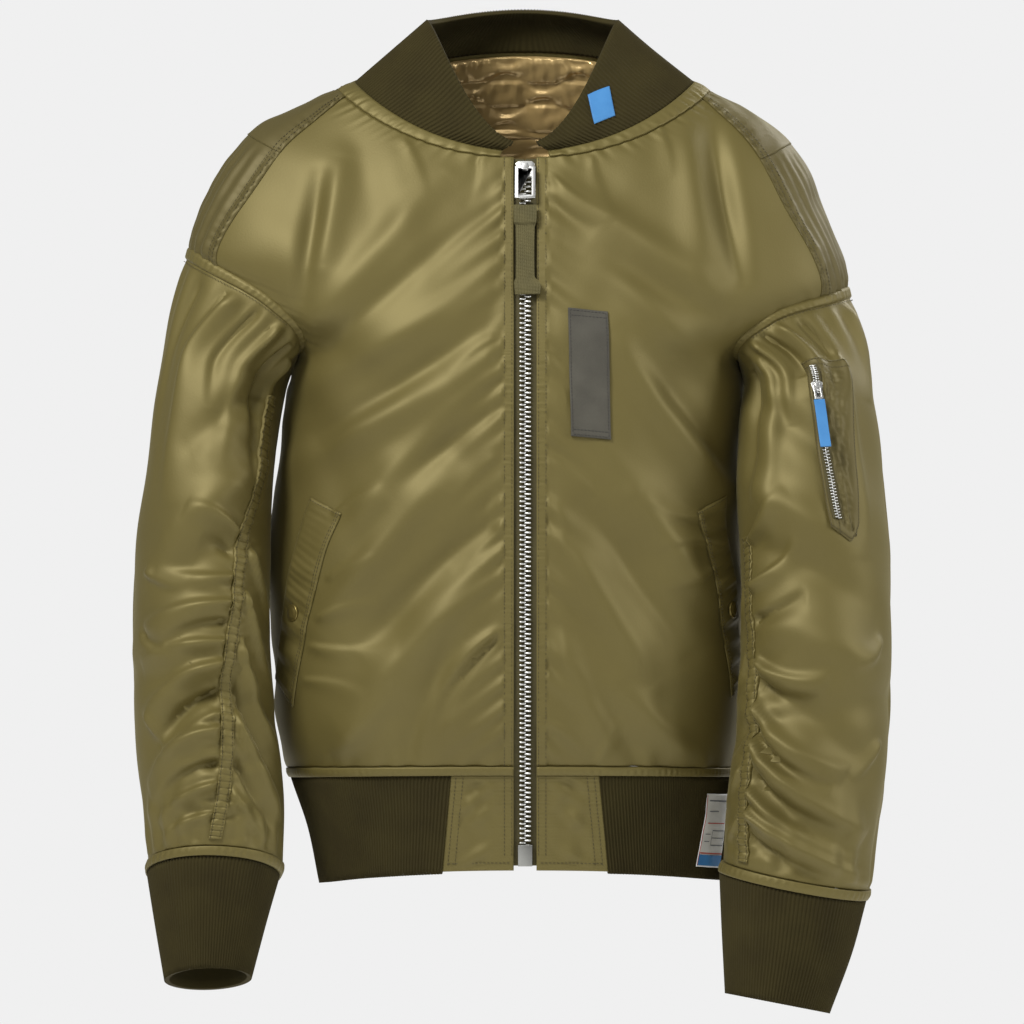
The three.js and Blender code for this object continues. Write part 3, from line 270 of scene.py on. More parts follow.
# Broad folds of the shell: x and z of the start, x and z of the end, width and height. A fold
# with a negative height is a trough.
FRONT_FOLDS = [
    (142, -14, 168, -150, 15, -8), (118, -30, 150, -190, 13, 6),
    (168, -165, 96, -300, 15, -6), (172, -200, 150, -330, 13, 6),
    (90, -60, 40, -190, 14, 4), (168, -300, 60, -420, 18, -5),
    (150, -360, 70, -500, 17, 5), (60, -330, 22, -400, 12, -4),
    (110, -470, 120, -555, 12, -5), (60, -480, 66, -558, 11, 4),
    (-146, -18, -120, -130, 15, -7), (-112, -34, -84, -170, 14, 5),
    (-188, -190, -100, -250, 15, -7), (-190, -215, -90, -330, 16, 6),
    (-182, -250, -130, -400, 14, -6), (-90, -260, -24, -330, 13, -4),
    (-176, -360, -60, -450, 18, 5), (-150, -420, -40, -520, 16, -5),
    (-130, -500, -136, -558, 12, -4), (-80, -490, -84, -556, 11, 4),
]
BACK_FOLDS = [
    (150, -10, 130, -150, 15, -6), (-150, -10, -128, -160, 15, -6),
    (182, -210, 70, -270, 16, -6), (-188, -205, -80, -280, 16, -6),
    (176, -240, 90, -360, 16, 6), (-186, -240, -100, -350, 16, 6),
    (150, -380, 20, -450, 18, -5), (-160, -400, -30, -440, 18, 5),
    (120, -470, 110, -556, 14, -5), (40, -480, 44, -556, 14, 4),
    (-50, -476, -46, -556, 14, -5), (-130, -484, -124, -556, 14, 4),
]
# Broad folds of a sleeve, by degrees round it and share of its length, then width and height.
SLEEVE_FOLDS = [
    (150, 0.16, 70, 0.3, 13, -6), (160, 0.3, 60, 0.44, 14, 6),
    (150, 0.42, 40, 0.54, 14, -7), (130, 0.55, 20, 0.63, 14, 6),
    (140, 0.64, 40, 0.78, 14, -6), (120, 0.78, 30, 0.9, 12, 5),
    (200, 0.3, 300, 0.4, 14, -6), (190, 0.46, 310, 0.5, 15, 6),
    (210, 0.58, 320, 0.64, 14, -6), (200, 0.76, 300, 0.86, 13, 5),
    (350, 0.2, 300, 0.34, 13, -5), (10, 0.66, 330, 0.8, 13, -5),
]

# Creases start at a seam or pinch and die out: x and z of the start and the end, width,
# height, and how far the middle bows to the crease's left.
FRONT_CREASES = [
    # Off the hand pockets' welts.
    (146, -352, 96, -330, 9, 2.4, 5), (150, -372, 104, -376, 8, 2.4, -4),
    (152, -396, 112, -408, 8, 2.2, 3), (-168, -433, -118, -422, 8, 3.0, 3),
    (-176, -458, -104, -458, 9, 3.0, -4), (-160, -400, -120, -384, 7, 2.4, 3),
    (-156, -346, -112, -326, 8, 2.6, 3), (-182, -486, -130, -500, 8, 2.6, 3),
    # The curved fold that starts at the zip below the right pocket.
    (-20, -443, -90, -548, 8, 5.0, -13), (-20, -450, -76, -552, 8, -3.6, -12),
    # Short pinches at the neck and along the zip.
    (-100, -36, -84, -88, 9, 2.0, 3), (-40, -52, -52, -92, 8, -1.6, 3),
    (56, -52, 74, -104, 9, 1.8, -3), (110, -20, 120, -70, 8, 2.0, 3),
    (22, -66, 74, -104, 8, 2.6, -4), (22, -84, 60, -112, 7, -2.2, -3),
    (22, -300, 66, -344, 9, 2.4, 3), (22, -520, 50, -552, 8, 2.2, 3),
    (-22, -200, -66, -232, 8, 2.2, -3), (-22, -300, -70, -348, 9, 2.4, -4),
    (-22, -360, -60, -396, 8, -2.2, -3), (60, -556, 84, -516, 8, 2.0, 3),
]
# Long slanting folds of the two fronts: start, end, width and height.
LONG_FOLDS = [
    # Right front, from the shoulder and the armpit up to the zip, then down to the hem.
    (-170, -66, -187, -168, 9, -6.5), (-152, -50, -170, -140, 12, 5.5),
    (-186, -200, -66, -66, 13, 5.0), (-160, -204, -26, -86, 10, -3.8),
    (-193, -250, -20, -150, 14, 4.8), (-170, -284, -20, -184, 10, -3.6),
    (-198, -310, -18, -214, 15, 4.4), (-110, -326, -18, -250, 11, -3.4),
    (-176, -398, -60, -262, 15, 3.8), (-172, -440, -70, -318, 14, 4.6),
    (-140, -462, -22, -340, 13, -3.6), (-150, -520, -34, -396, 15, 4.0),
    (-160, -550, -106, -494, 11, 3.2), (-100, -552, -60, -452, 12, -3.0),
    # Left front, from the shoulder down, and from the zip towards the armpit and the pocket.
    (132, -10, 152, -136, 14, 7.0), (158, -26, 180, -150, 9, -8.0),
    (20, -66, 156, -160, 12, 5.0), (24, -112, 170, -190, 11, -3.8),
    (58, -128, 172, -246, 14, 4.2), (72, -196, 164, -330, 15, 5.4),
    (96, -216, 172, -312, 10, -3.6), (26, -222, 108, -338, 12, -3.4),
    (40, -246, 130, -372, 13, 3.6), (22, -352, 106, -488, 14, 4.2),
    (54, -340, 136, -462, 13, -3.4), (90, -334, 152, -420, 12, 3.4),
    (22, -440, 74, -532, 13, 3.6), (80, -490, 142, -556, 12, 3.4),
    (44, -470, 92, -552, 10, -2.8),
]
BACK_CREASES = [
    (178, -196, 60, -110, 10, 3.0, 10), (176, -210, 40, -170, 12, -2.8, 8),
    (172, -236, 60, -300, 12, 3.0, -8), (166, -280, 80, -400, 11, 2.6, 6),
    (-184, -190, -70, -104, 10, 3.0, -10), (-186, -206, -50, -176, 12, 2.8, -8),
    (-186, -232, -70, -290, 12, -3.0, 8), (-180, -290, -60, -392, 11, 2.6, -6),
    (0, 12, 6, -90, 10, 1.2, 4), (60, 8, 40, -80, 9, -1.2, 4),
    (-58, 4, -46, -76, 9, 1.1, -4), (150, -396, 40, -470, 10, 2.6, 8),
    (-160, -410, -50, -480, 11, -2.4, -8), (96, -560, 90, -480, 8, 2.8, 3),
    (20, -560, 26, -494, 8, 2.6, 3), (-20, -560, -30, -476, 9, -2.6, 3),
    (-90, -560, -84, -490, 8, 2.6, -3), (150, -560, 140, -500, 8, 2.4, 3),
]
# Creases of each sleeve, by degrees and share of length, with widths and heights in
# millimetres. Those that start on the gathered strip run away from it on both sides.
SLEEVE_CREASES = {
    RIGHT: [
        # From the head down the upper arm.
        (62, 0.03, 52, 0.4, 14, 4.0, 4), (82, 0.02, 86, 0.24, 9, -3.4, 3),
        (128, 0.05, 136, 0.36, 9, -4.4, 3), (144, 0.08, 148, 0.4, 9, 3.6, 3),
        (104, 0.04, 104, 0.34, 12, 3.0, -3), (34, 0.02, 30, 0.3, 11, -2.6, 3),
        # From the gathered strip towards the outer side.
        (126, 0.44, 76, 0.4, 8, 4.4, 4), (124, 0.475, 90, 0.45, 7, -3.4, 3),
        (121, 0.51, 50, 0.5, 8, 3.4, -4), (117, 0.555, 36, 0.59, 8, 4.4, 4),
        (116, 0.585, 60, 0.62, 7, -3.6, 4), (114, 0.62, 30, 0.65, 8, 4.2, 4),
        (111, 0.655, 32, 0.745, 12, 6.4, 8), (109, 0.7, 44, 0.79, 8, -5.0, 8),
        (106, 0.735, 60, 0.8, 7, 3.4, 4), (104, 0.765, 28, 0.86, 12, 7.0, 10),
        (102, 0.82, 34, 0.905, 9, -5.0, 8), (99, 0.86, 36, 0.94, 9, 4.8, 6),
        (94, 0.925, 44, 0.975, 8, 3.6, 4), (40, 0.5, 80, 0.525, 8, 2.4, 4),
        (34, 0.6, 76, 0.635, 8, -2.4, 4), (38, 0.74, 66, 0.81, 9, 2.4, 4),
        # From the strip towards the body.
        (134, 0.46, 178, 0.6, 8, 3.6, 4), (128, 0.54, 176, 0.71, 8, 4.0, 5),
        (123, 0.62, 172, 0.82, 9, 5.0, 6), (119, 0.68, 168, 0.88, 8, -4.4, 6),
        (114, 0.745, 162, 0.92, 9, 5.0, 6), (109, 0.81, 152, 0.95, 8, -4.0, 4),
        (103, 0.87, 140, 0.975, 9, 4.4, 4),
    ],
    LEFT: [
        # From the head down the upper arm.
        (100, 0.02, 92, 0.15, 8, -5.0, 2), (84, 0.02, 78, 0.2, 9, 4.2, 2),
        (112, 0.03, 108, 0.24, 9, 3.6, 2), (66, 0.03, 62, 0.2, 8, -3.0, 2),
        (122, 0.08, 130, 0.44, 14, 4.0, 4), (60, 0.12, 50, 0.46, 14, 3.0, 4),
        (20, 0.02, 26, 0.2, 9, 3.0, 2), (142, 0.1, 146, 0.36, 9, -3.4, 3),
        # From the gathered strip towards the outer side.
        (154, 0.42, 112, 0.34, 8, 3.6, -4), (152, 0.5, 104, 0.43, 9, 5.0, -6),
        (150, 0.545, 100, 0.515, 7, -4.0, -4), (149, 0.595, 80, 0.64, 9, 5.4, -10),
        (148, 0.625, 86, 0.67, 7, -4.6, -8), (147, 0.655, 60, 0.79, 12, 6.2, -14),
        (146, 0.69, 72, 0.82, 8, -4.8, -12), (145, 0.72, 36, 0.9, 13, 6.6, -14),
        (143, 0.775, 54, 0.9, 9, -5.0, -12), (141, 0.825, 44, 0.95, 10, 5.0, -10),
        (140, 0.87, 16, 0.985, 12, 6.2, -10), (139, 0.92, 56, 0.99, 8, -4.0, -5),
        (34, 0.58, 66, 0.62, 9, 2.2, 4), (32, 0.74, 58, 0.8, 9, 2.2, 4),
        # From the strip towards the body.
        (160, 0.5, 188, 0.58, 7, 3.4, 3), (156, 0.6, 184, 0.68, 7, 3.6, 3),
        (153, 0.7, 182, 0.78, 8, -3.4, 3), (149, 0.8, 178, 0.88, 8, 3.8, 3),
        (145, 0.9, 172, 0.96, 7, 3.2, 3),
    ],
}
# How much of each table's height is used. The long folds' share grows from chest to hem.
FRONT_FOLD_SHARE = 0.3
LONG_FOLD_SHARES = (1.15, 2.3)
BACK_FOLD_SHARE = 1.8
BACK_CREASE_SHARE = 1.9
SLEEVE_CREASE_SHARE = 2.0

HEM_TOP = 0.0083
NECK_TOP = 0.989
HEM_FOOT = -0.18
ZIP_EDGE = 9.5
PLACKET_EDGE = 17.2
SLEEVE_START = 0.006
FULL_TURN = 360


def fold_height(folds, a, b):
    """Height of the broad folds. Each one fades towards its two ends."""
    total = np.zeros(np.shape(a))
    for a0, b0, a1, b1, width, height in folds:
        da, db = a1 - a0, b1 - b0
        share = ((a - a0) * da + (b - b0) * db) / (da * da + db * db)
        near = np.clip(share, 0, 1)
        away = np.hypot(a - a0 - da * near, b - b0 - db * near) / width
        fade = 0.35 + 0.65 * np.sin(np.pi * near)
        total += height * fade * np.exp(-away * away)
    return total


def crease_height(creases, a, b):
    """Height of creases. Each is narrow at its start, steep on one side, and dies out."""
    total = np.zeros(np.shape(a))
    for a0, b0, a1, b1, width, height, bow in creases:
        da, db = a1 - a0, b1 - b0
        length = math.hypot(da, db)
        share = ((a - a0) * da + (b - b0) * db) / length ** 2
        near = np.clip(share, 0, 1)
        across = ((b - b0) * da - (a - a0) * db) / length - 4 * bow * near * (1 - near)
        beyond = (share - near) * length
        local = width * (0.45 + 0.65 * near)
        steep = np.where(across > 0, 0.62, 1.35)
        away = np.hypot(across / steep, beyond) / local
        fade = (1 - near) ** 0.6 * smooth(-0.1, 0.12, near + 0.04)
        total += height * fade * np.exp(-away * away)
    return total


def ripple(a, b, pitch, seed):
    """An uneven undulation from -1 to 1, with about that pitch."""
    dice = np.random.default_rng(seed)
    total = np.zeros(np.shape(a))
    waves = 6
    for _ in range(waves):
        heading = dice.uniform(0, math.tau)
        number = math.tau / (pitch * dice.uniform(0.7, 1.5))
        phase = dice.uniform(0, math.tau)
        total += np.sin(number * (a * math.cos(heading) + b * math.sin(heading)) + phase)
    return total / math.sqrt(waves) / 1.4


def gathers(along, pitch, seed):
    """Uneven waves along a seam, from -1 to 1."""
    dice = np.random.default_rng(seed)
    total = np.zeros(np.shape(along))
    for share in (1.0, 0.7, 0.6):
        number = math.tau / (pitch * dice.uniform(0.75, 1.45))
        total += share * np.sin(number * along + dice.uniform(0, math.tau))
    return total / 1.7


def arc_length(x):
    """Distance across the front, with the sides unrolled a little."""
    return x * (1 + 0.25 * (x / 200) ** 2)


def armhole_distance(angle, level):
    across = (np.abs(angle) - 90) / ARMHOLE_HALF_ANGLE
    up = (level - ARMHOLE_LEVEL) / ARMHOLE_HALF_LEVEL
    return np.maximum(np.hypot(across, up) - 1, 0)


def seam_puckers(base, angle, level):
    """Small puckers where the shell is sewn to the zip, the neck, the hem and the armholes."""
    x, z = base[..., 0], base[..., 2]
    front = smooth(0.0, 0.3, np.cos(np.radians(angle)))
    beside = np.maximum(np.abs(x) - PLACKET_EDGE, 0)
    slant = z + 0.75 * beside
    fine = np.where(x > 0, gathers(slant, pitch=4.5, seed=21), gathers(slant, pitch=4.5, seed=22))
    broad = np.where(x > 0, gathers(slant, pitch=24.0, seed=23), gathers(slant, pitch=19.0, seed=24))
    placket = front * (0.3 * fine * np.exp(-beside / 3) + 1.5 * broad * np.exp(-beside / 20))
    on_placket = np.abs(x) < PLACKET_EDGE
    flat_band = 0.32 * gathers(z, pitch=3.4, seed=25) * front
    at_hem = smooth(0.06, 0.0, level) * gathers(arc_length(x) + 90 * (x > 0), pitch=26.0, seed=26) * 0.7
    at_neck = smooth(0.955, 1.0, level) * gathers(angle * 2.2, pitch=9.0, seed=27) * 0.7
    arm = np.exp(-armhole_distance(angle, level) / 0.12)
    at_arm = arm * gathers(z * 0.9 + angle * 1.4, pitch=10.0, seed=28) * 0.9
    return np.where(on_placket, flat_band, placket + at_hem + at_arm) + at_neck


def body_height(base, angle, level):
    """How far the cloth of the body stands off its smooth base."""
    x, z = base[..., 0], base[..., 2]
    cosine = np.cos(np.radians(angle))
    in_front = cosine >= 0
    lower = smooth(-120, -400, z)
    front = FRONT_FOLD_SHARE * fold_height(FRONT_FOLDS, x, z)
    front += fold_height(LONG_FOLDS, x, z) * mix(*LONG_FOLD_SHARES, lower)
    broad = np.where(in_front, front, BACK_FOLD_SHARE * fold_height(BACK_FOLDS, x, z))
    back_fine = BACK_CREASE_SHARE * crease_height(BACK_CREASES, x, z)
    fine = np.where(in_front, crease_height(FRONT_CREASES, x, z), back_fine)
    settled = smooth(-0.02, 0.05, level) * smooth(1.0, 0.94, level)
    near_side = smooth(0, 0.22, np.abs(cosine))
    off_centre = np.where(in_front, np.abs(x), 99)
    near_zip = smooth(PLACKET_EDGE, PLACKET_EDGE + 16, off_centre)
    edge = armhole_distance(angle, level)
    calm = settled * near_side * near_zip * smooth(0.02, 0.3, edge)
    off_zip = smooth(PLACKET_EDGE, PLACKET_EDGE + 12, off_centre)
    crisp = smooth(0.0, 0.03, level) * smooth(1.0, 0.975, level) * near_side * off_zip
    crisp = crisp * smooth(0.0, 0.12, edge)
    swell = ripple(x + 0.6 * z, z - 0.3 * x, pitch=90, seed=31) * 1.2
    side_fold = ripple(angle * 0.6, z, pitch=44, seed=33) * 2.6 * (1 - near_side) * smooth(0.5, 0.3, level)
    calm_hem = smooth(-0.01, 0.02, level) * smooth(1.0, 0.97, level) * smooth(0.0, 0.2, edge)
    puckers = seam_puckers(base, angle, level) * smooth(-0.004, 0.012, level)
    return broad * calm + fine * crisp + (swell * off_zip + side_fold) * calm_hem + puckers


def side_slack(angle, level):
    """How far the loose cloth at the body's sides hangs out behind the sleeves."""
    deepest = np.where(angle < 0, 7.0, 4.5) + 3.4 * smooth(0.5, 0.59, level)
    beside = np.exp(-((np.abs(angle) - 99) / 20) ** 2)
    return deepest * beside * smooth(0.05, 0.35, level) * smooth(0.622, 0.602, level)


def body_point(angle, level, out):
    base = body_base(angle, level)
    normal = outward(body_base, angle, level, 0.5, 0.004)
    height = body_height(base, angle, level) + side_slack(angle, level)
    return base + normal * (out + height)[..., None]


def plain_body_point(angle, level, out):
    """The body without its folds, for the stiff bands at its edges."""
    normal = outward(body_base, angle, level, 0.5, 0.004)
    return body_base(angle, level) + normal * np.asarray(out + 0 * level)[..., None]


def collar_point(angle, level, out):
    normal = outward(collar_base, angle, level, 0.5, 0.02)
    return collar_base(angle, level) + normal * np.asarray(out + 0 * level)[..., None]


def strip_turn(side, along):
    return row_at(GATHER_LINES[side], np.clip(along, 0.19, 0.985))[..., 1]


def strip_share(side, along):
    """1 where the gathered strip runs beside a place on the sleeve, 0 above its start."""
    first = GATHER_LINES[side][0, 0]
    return smooth(first - 0.01, first + 0.03, along)


def turn_length(turn):
    return np.radians(turn) * SLEEVE_RADIUS


def sleeve_folds(folds, side_turn, along, height_of):
    """Folds given in degrees and shares, measured on the sleeve laid out flat."""
    around = np.mod(side_turn, FULL_TURN)
    total = np.zeros(np.shape(along))
    for fold in folds:
        turn0, along0, turn1, along1 = fold[:4]
        shifts = (0, -FULL_TURN) if max(turn0, turn1) >= 300 else (0,)
        for shift in shifts:
            place = (
                turn_length(turn0 + shift), along0 * SLEEVE_LENGTH,
                turn_length(turn1 + shift), along1 * SLEEVE_LENGTH,
            )
            laid = height_of([place + tuple(fold[4:])], turn_length(around), along * SLEEVE_LENGTH)
            total += laid
    return total


def sleeve_height(side, turn, along):
    turn = turn + 0 * along
    length = along * SLEEVE_LENGTH
    body_side = 1 - 0.75 * smooth(40, 0, np.abs(turn - 180))
    broad_fade = smooth(0.05, 0.2, along) * smooth(1.0, 0.93, along)
    fine_fade = smooth(SLEEVE_START, 0.05, along) * smooth(1.0, 0.985, along)
    broad = sleeve_folds(SLEEVE_FOLDS, turn, along, fold_height) * broad_fade
    fine = sleeve_folds(SLEEVE_CREASES[side], turn, along, crease_height) * fine_fade
    aside = turn_length(turn - strip_turn(side, along))
    off_strip = mix(1, smooth(4, 11, np.abs(aside)), strip_share(side, along))
    reach = np.maximum(np.abs(aside) - 5, 0)
    drop = length + 0.35 * reach
    near = strip_share(side, along) * smooth(1.0, 0.97, along)
    tight = 0.55 * gathers(drop, pitch=7.0, seed=41 + side) * np.exp(-reach / 7)
    tight = tight * smooth(-1, 3, np.abs(aside) - 5)
    loose = 1.3 * gathers(drop, pitch=21.0, seed=44 + side) * np.exp(-reach / 26)
    loose = loose * smooth(0, 7, np.abs(aside))
    head = smooth(0.16, SLEEVE_START, along) * smooth(SLEEVE_START, 0.04, along)
    head_waves = gathers(turn_length(turn), pitch=17.0, seed=47 + side) * 1.3 * head * body_side
    cuff = smooth(0.8, 0.97, along) * smooth(1.0, 0.985, along)
    cuff_waves = gathers(turn_length(turn), pitch=20.0, seed=50 + side) * 1.1 * cuff
    swell = ripple(turn_length(turn), length, pitch=80, seed=53 + side) * 1.2 * broad_fade
    strip = (tight + loose) * near
    waves = head_waves + cuff_waves * off_strip + strip + swell
    return (broad + SLEEVE_CREASE_SHARE * fine * off_strip + waves) * body_side


def sleeve_point(side, turn, along, out):
    along = np.asarray(along, float) + 0 * np.asarray(turn, float)
    normal = outward(lambda a, b: sleeve_base(side, a, b), turn, along, 2, 0.01) * side
    height = sleeve_height(side, turn, along)
    return sleeve_base(side, turn, along) + normal * (out + height)[..., None]


def cuff_point(side, turn, along, out):
    rows = CUFF_RINGS[side]
    along = np.asarray(along, float) + 0 * np.asarray(turn, float)
    normal = outward(lambda a, b: tube_base(rows, side, a, b), turn, along, 2, 0.02) * side
    return tube_base(rows, side, turn, along) + normal * np.asarray(out + 0 * along)[..., None]


def saddle_half(share):
    """Half the saddle's width in degrees, from the armhole at 0 to the neck at 1."""
    return mix(SADDLE_ARM_HALF, SADDLE_NECK_HALF, share) + SADDLE_BOW * 4 * share * (1 - share)


SEAM_GAP = 0.12
SEAM_OVERLAP = 0.2


def panel_edge(level):
    """Degrees from the side line to a panel's edge: side seam, then armhole, then saddle."""
    foot = ARMHOLE_LEVEL - ARMHOLE_HALF_LEVEL
    saddle_foot = armhole_top_level(SADDLE_ARM_HALF)
    up = np.clip((level - ARMHOLE_LEVEL) / ARMHOLE_HALF_LEVEL, -1, 1)
    armhole = ARMHOLE_HALF_ANGLE * np.sqrt(1 - up * up)
    past = (level - saddle_foot) / (1 - saddle_foot)
    edge = np.where(level <= foot, 0, np.where(level <= saddle_foot, armhole, saddle_half(past)))
    return edge + SEAM_GAP


def panel_levels(rows_below, rows_beside, rows_above):
    """Levels of a panel's rows, crowded where the armhole's edge turns."""
    foot = ARMHOLE_LEVEL - ARMHOLE_HALF_LEVEL
    saddle_foot = float(armhole_top_level(SADDLE_ARM_HALF))
    end = math.acos((ARMHOLE_LEVEL - saddle_foot) / ARMHOLE_HALF_LEVEL)
    below = np.linspace(HEM_TOP, foot, rows_below, endpoint=False)
    turning = np.linspace(0, end, rows_beside, endpoint=False)
    beside = ARMHOLE_LEVEL - ARMHOLE_HALF_LEVEL * np.cos(turning)
    above = np.linspace(saddle_foot, NECK_TOP, rows_above + 1)
    return np.concatenate([below, beside, above])


def faces_of(index, closed):
    """Quads between the rows of a grid of vertex numbers."""
    if closed:
        index = np.concatenate([index, index[:, :1]], axis=1)
    return np.stack(
        [index[:-1, :-1], index[:-1, 1:], index[1:, 1:], index[1:, :-1]], axis=-1
    ).reshape(-1, 4)


def rim_faces(outer, inner, step):
    """Faces that close a wall's edge: each spans several fine edges and one coarse one."""
    count = len(inner) - 1
    rows = []
    for i in range(count):
        fine = outer[i * step:(i + 1) * step + 1]
        rows.append(np.concatenate([fine, [inner[i + 1], inner[i]]]))
    return np.array(rows)


def linked(name, data):
    """A new object that holds the data, in the scene."""
    obj = bpy.data.objects.new(name, data)
    bpy.context.scene.collection.objects.link(obj)
    return obj


def mesh_object(name, vertices, smooth_faces, flat_faces=()):
    """A mesh from vertices in millimetres and arrays of faces, one array for each size."""
    faces = list(smooth_faces) + list(flat_faces)
    sizes = np.concatenate([np.full(len(f), f.shape[1]) for f in faces])
    corners = np.concatenate([f.ravel() for f in faces]).astype(np.int32)
    shaded = np.zeros(len(sizes), bool)
    shaded[: sum(len(f) for f in smooth_faces)] = True
    mesh = bpy.data.meshes.new(name)
    mesh.vertices.add(len(vertices))
    mesh.vertices.foreach_set("co", (np.asarray(vertices) * MM).astype(np.float32).ravel())
    mesh.loops.add(len(corners))
    mesh.loops.foreach_set("vertex_index", corners)
    mesh.polygons.add(len(sizes))
    starts = np.concatenate([[0], np.cumsum(sizes)[:-1]]).astype(np.int32)
    mesh.polygons.foreach_set("loop_start", starts)
    mesh.polygons.foreach_set("use_smooth", shaded)
    mesh.update(calc_edges=True)
    return linked(name, mesh)


def signed_volume(vertices, quads):
    a, b, c, d = (vertices[quads[:, i]] for i in range(4))
    upper = np.einsum("ij,ij->i", a, np.cross(b, c))
    return float(np.sum(upper + np.einsum("ij,ij->i", a, np.cross(c, d))))


def wall(name, point, across, along, thickness, step=4, closed=False, lift=0.0):
    """A cloth wall: a fine outer face, a coarser inner one, and the edges between them.

    point takes two arrays of shares and a distance out of the cloth.
    """
    a, b = np.meshgrid(across, along)
    outer = point(a, b, lift)
    inner = point(a[::step, ::step], b[::step, ::step], lift - thickness)
    vertices = np.concatenate([outer.reshape(-1, 3), inner.reshape(-1, 3)])
    outer_index = np.arange(a.size).reshape(a.shape)
    inner_index = a.size + np.arange(inner[..., 0].size).reshape(inner.shape[:2])
    quads = faces_of(outer_index, closed)
    inside = faces_of(inner_index, closed)[:, ::-1]
    joined_outer, joined_inner = outer_index, inner_index
    if closed:
        joined_outer = np.concatenate([outer_index, outer_index[:, :1]], axis=1)
        joined_inner = np.concatenate([inner_index, inner_index[:, :1]], axis=1)
    rims = [
        rim_faces(joined_outer[0], joined_inner[0], step)[:, ::-1],
        rim_faces(joined_outer[-1], joined_inner[-1], step),
    ]
    if not closed:
        rims.append(rim_faces(outer_index[:, 0], inner_index[:, 0], step))
        rims.append(rim_faces(outer_index[:, -1], inner_index[:, -1], step)[:, ::-1])
    if signed_volume(vertices, np.concatenate([quads, inside])) < 0:
        quads, inside = quads[:, ::-1], inside[:, ::-1]
        rims = [rim[:, ::-1] for rim in rims]
    return mesh_object(name, vertices, [quads, inside], rims)


def shares(count):
    return np.linspace(0, 1, count + 1)


def loop_shares(count):
    return np.arange(count) / count


def finish_piece(obj, material, body, slot_name, *nodes):
    obj.data.materials.append(material)
    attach(obj, body)
    if nodes:
        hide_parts(*nodes)
    return obj


def signed_angle(angle):
    return np.where(angle > 180, angle - FULL_TURN, angle)


def colour(red, green, blue):
    """A linear colour from 0 to 255 screen values."""
    values = np.array([red, green, blue]) / 255
    low, high = values / 12.92, ((values + 0.055) / 1.055) ** 2.4
    return (*np.where(values <= 0.04045, low, high).tolist(), 1.0)


def noise_node(tree, scale, detail):
    place = tree.nodes.new("ShaderNodeTexCoord")
    noise = tree.nodes.new("ShaderNodeTexNoise")
    noise.inputs["Scale"].default_value = scale
    noise.inputs["Detail"].default_value = detail
    tree.links.new(place.outputs["Object"], noise.inputs["Vector"])
    return noise.outputs["Fac"]


def surface(name, dark, light, roughness, grain, depth, patch=60, **settings):
    """A material whose colour drifts between two screen tones, with a fine grain in its bump.

    patch and grain are the noise scales of the two, and depth is the grain's in metres.
    """
    material = bpy.data.materials.new(name)
    material.use_nodes = True
    tree = material.node_tree
    shader = tree.nodes["Principled BSDF"]
    shader.inputs["Roughness"].default_value = roughness
    for socket, value in settings.items():
        shader.inputs[socket.replace("_", " ")].default_value = value
    spread = tree.nodes.new("ShaderNodeMapRange")
    spread.inputs["From Min"].default_value = 0.3
    spread.inputs["From Max"].default_value = 0.7
    tree.links.new(noise_node(tree, patch, 4), spread.inputs["Value"])
    tones = tree.nodes.new("ShaderNodeMix")
    tones.data_type = "RGBA"
    tones.inputs["A"].default_value = colour(*dark)
    tones.inputs["B"].default_value = colour(*light)
    tree.links.new(spread.outputs["Result"], tones.inputs["Factor"])
    tree.links.new(tones.outputs["Result"], shader.inputs["Base Color"])
    bump = tree.nodes.new("ShaderNodeBump")
    bump.inputs["Strength"].default_value = 1.0
    bump.inputs["Distance"].default_value = depth
    tree.links.new(noise_node(tree, grain, 3), bump.inputs["Height"])
    tree.links.new(bump.outputs["Normal"], shader.inputs["Normal"])
    return material


OLIVE_SHEEN = (0.85, 0.78, 0.45, 1.0)
SATIN = surface(
    "satin_cloth", (106, 95, 49), (113, 102, 54), roughness=0.565, patch=7, grain=700, depth=0.0001,
    Metallic=0.4, Sheen_Weight=0.12, Sheen_Roughness=0.3, Sheen_Tint=OLIVE_SHEEN,
)
# The same satin made darker for the saddles and the sleeve pocket: its lower tones are painted shade,
# standing in for the browner sheen of the cloth laid the other way.
SATIN_PAINTED_SHADE = surface(
    "saddle_cloth_painted_shade", (90, 80, 41), (97, 87, 46), roughness=0.58, patch=9, grain=700, depth=0.0001,
    Metallic=0.36, Sheen_Weight=0.15, Sheen_Roughness=0.35, Sheen_Tint=OLIVE_SHEEN,
)
RIB = surface(
    "rib_wool", (48, 41, 15), (56, 49, 20), roughness=0.95, patch=30, grain=1400, depth=0.00025,
    Specular_IOR_Level=0.25, Sheen_Weight=0.04, Sheen_Roughness=0.6, Sheen_Tint=(0.5, 0.46, 0.28, 1.0),
)
LINING = surface(
    "quilted_lining", (184, 154, 98), (202, 172, 114), roughness=0.24, patch=12, grain=900, depth=0.00005,
    Metallic=0.35, Sheen_Weight=0.1, Sheen_Tint=(1.0, 0.85, 0.6, 1.0),
)
TAPE = surface(
    "zip_tape_weave", (70, 63, 34), (80, 73, 41), roughness=0.85, patch=40, grain=1200, depth=0.0002,
)
THREAD = surface("thread", (62, 54, 26), (74, 66, 34), roughness=0.6, grain=2000, depth=0.0001)
GREY_THREAD = surface("grey_thread", (46, 44, 42), (58, 55, 52), roughness=0.6, grain=2000, depth=0.0001)
SILVER = surface(
    "zip_silver", (222, 222, 218), (238, 238, 234), roughness=0.34, grain=500, depth=0.00003,
    Metallic=1.0,
)
BOX_METAL = surface(
    "zip_box_metal", (150, 150, 145), (170, 170, 165), roughness=0.34, grain=500, depth=0.00003,
    Metallic=1.0,
)
BRASS = surface(
    "olive_brass", (118, 104, 56), (132, 118, 66), roughness=0.36, grain=500, depth=0.00003,
    Metallic=0.7,
)
WEBBING = surface("webbing", (80, 74, 40), (94, 86, 48), roughness=0.8, grain=1300, depth=0.0003)
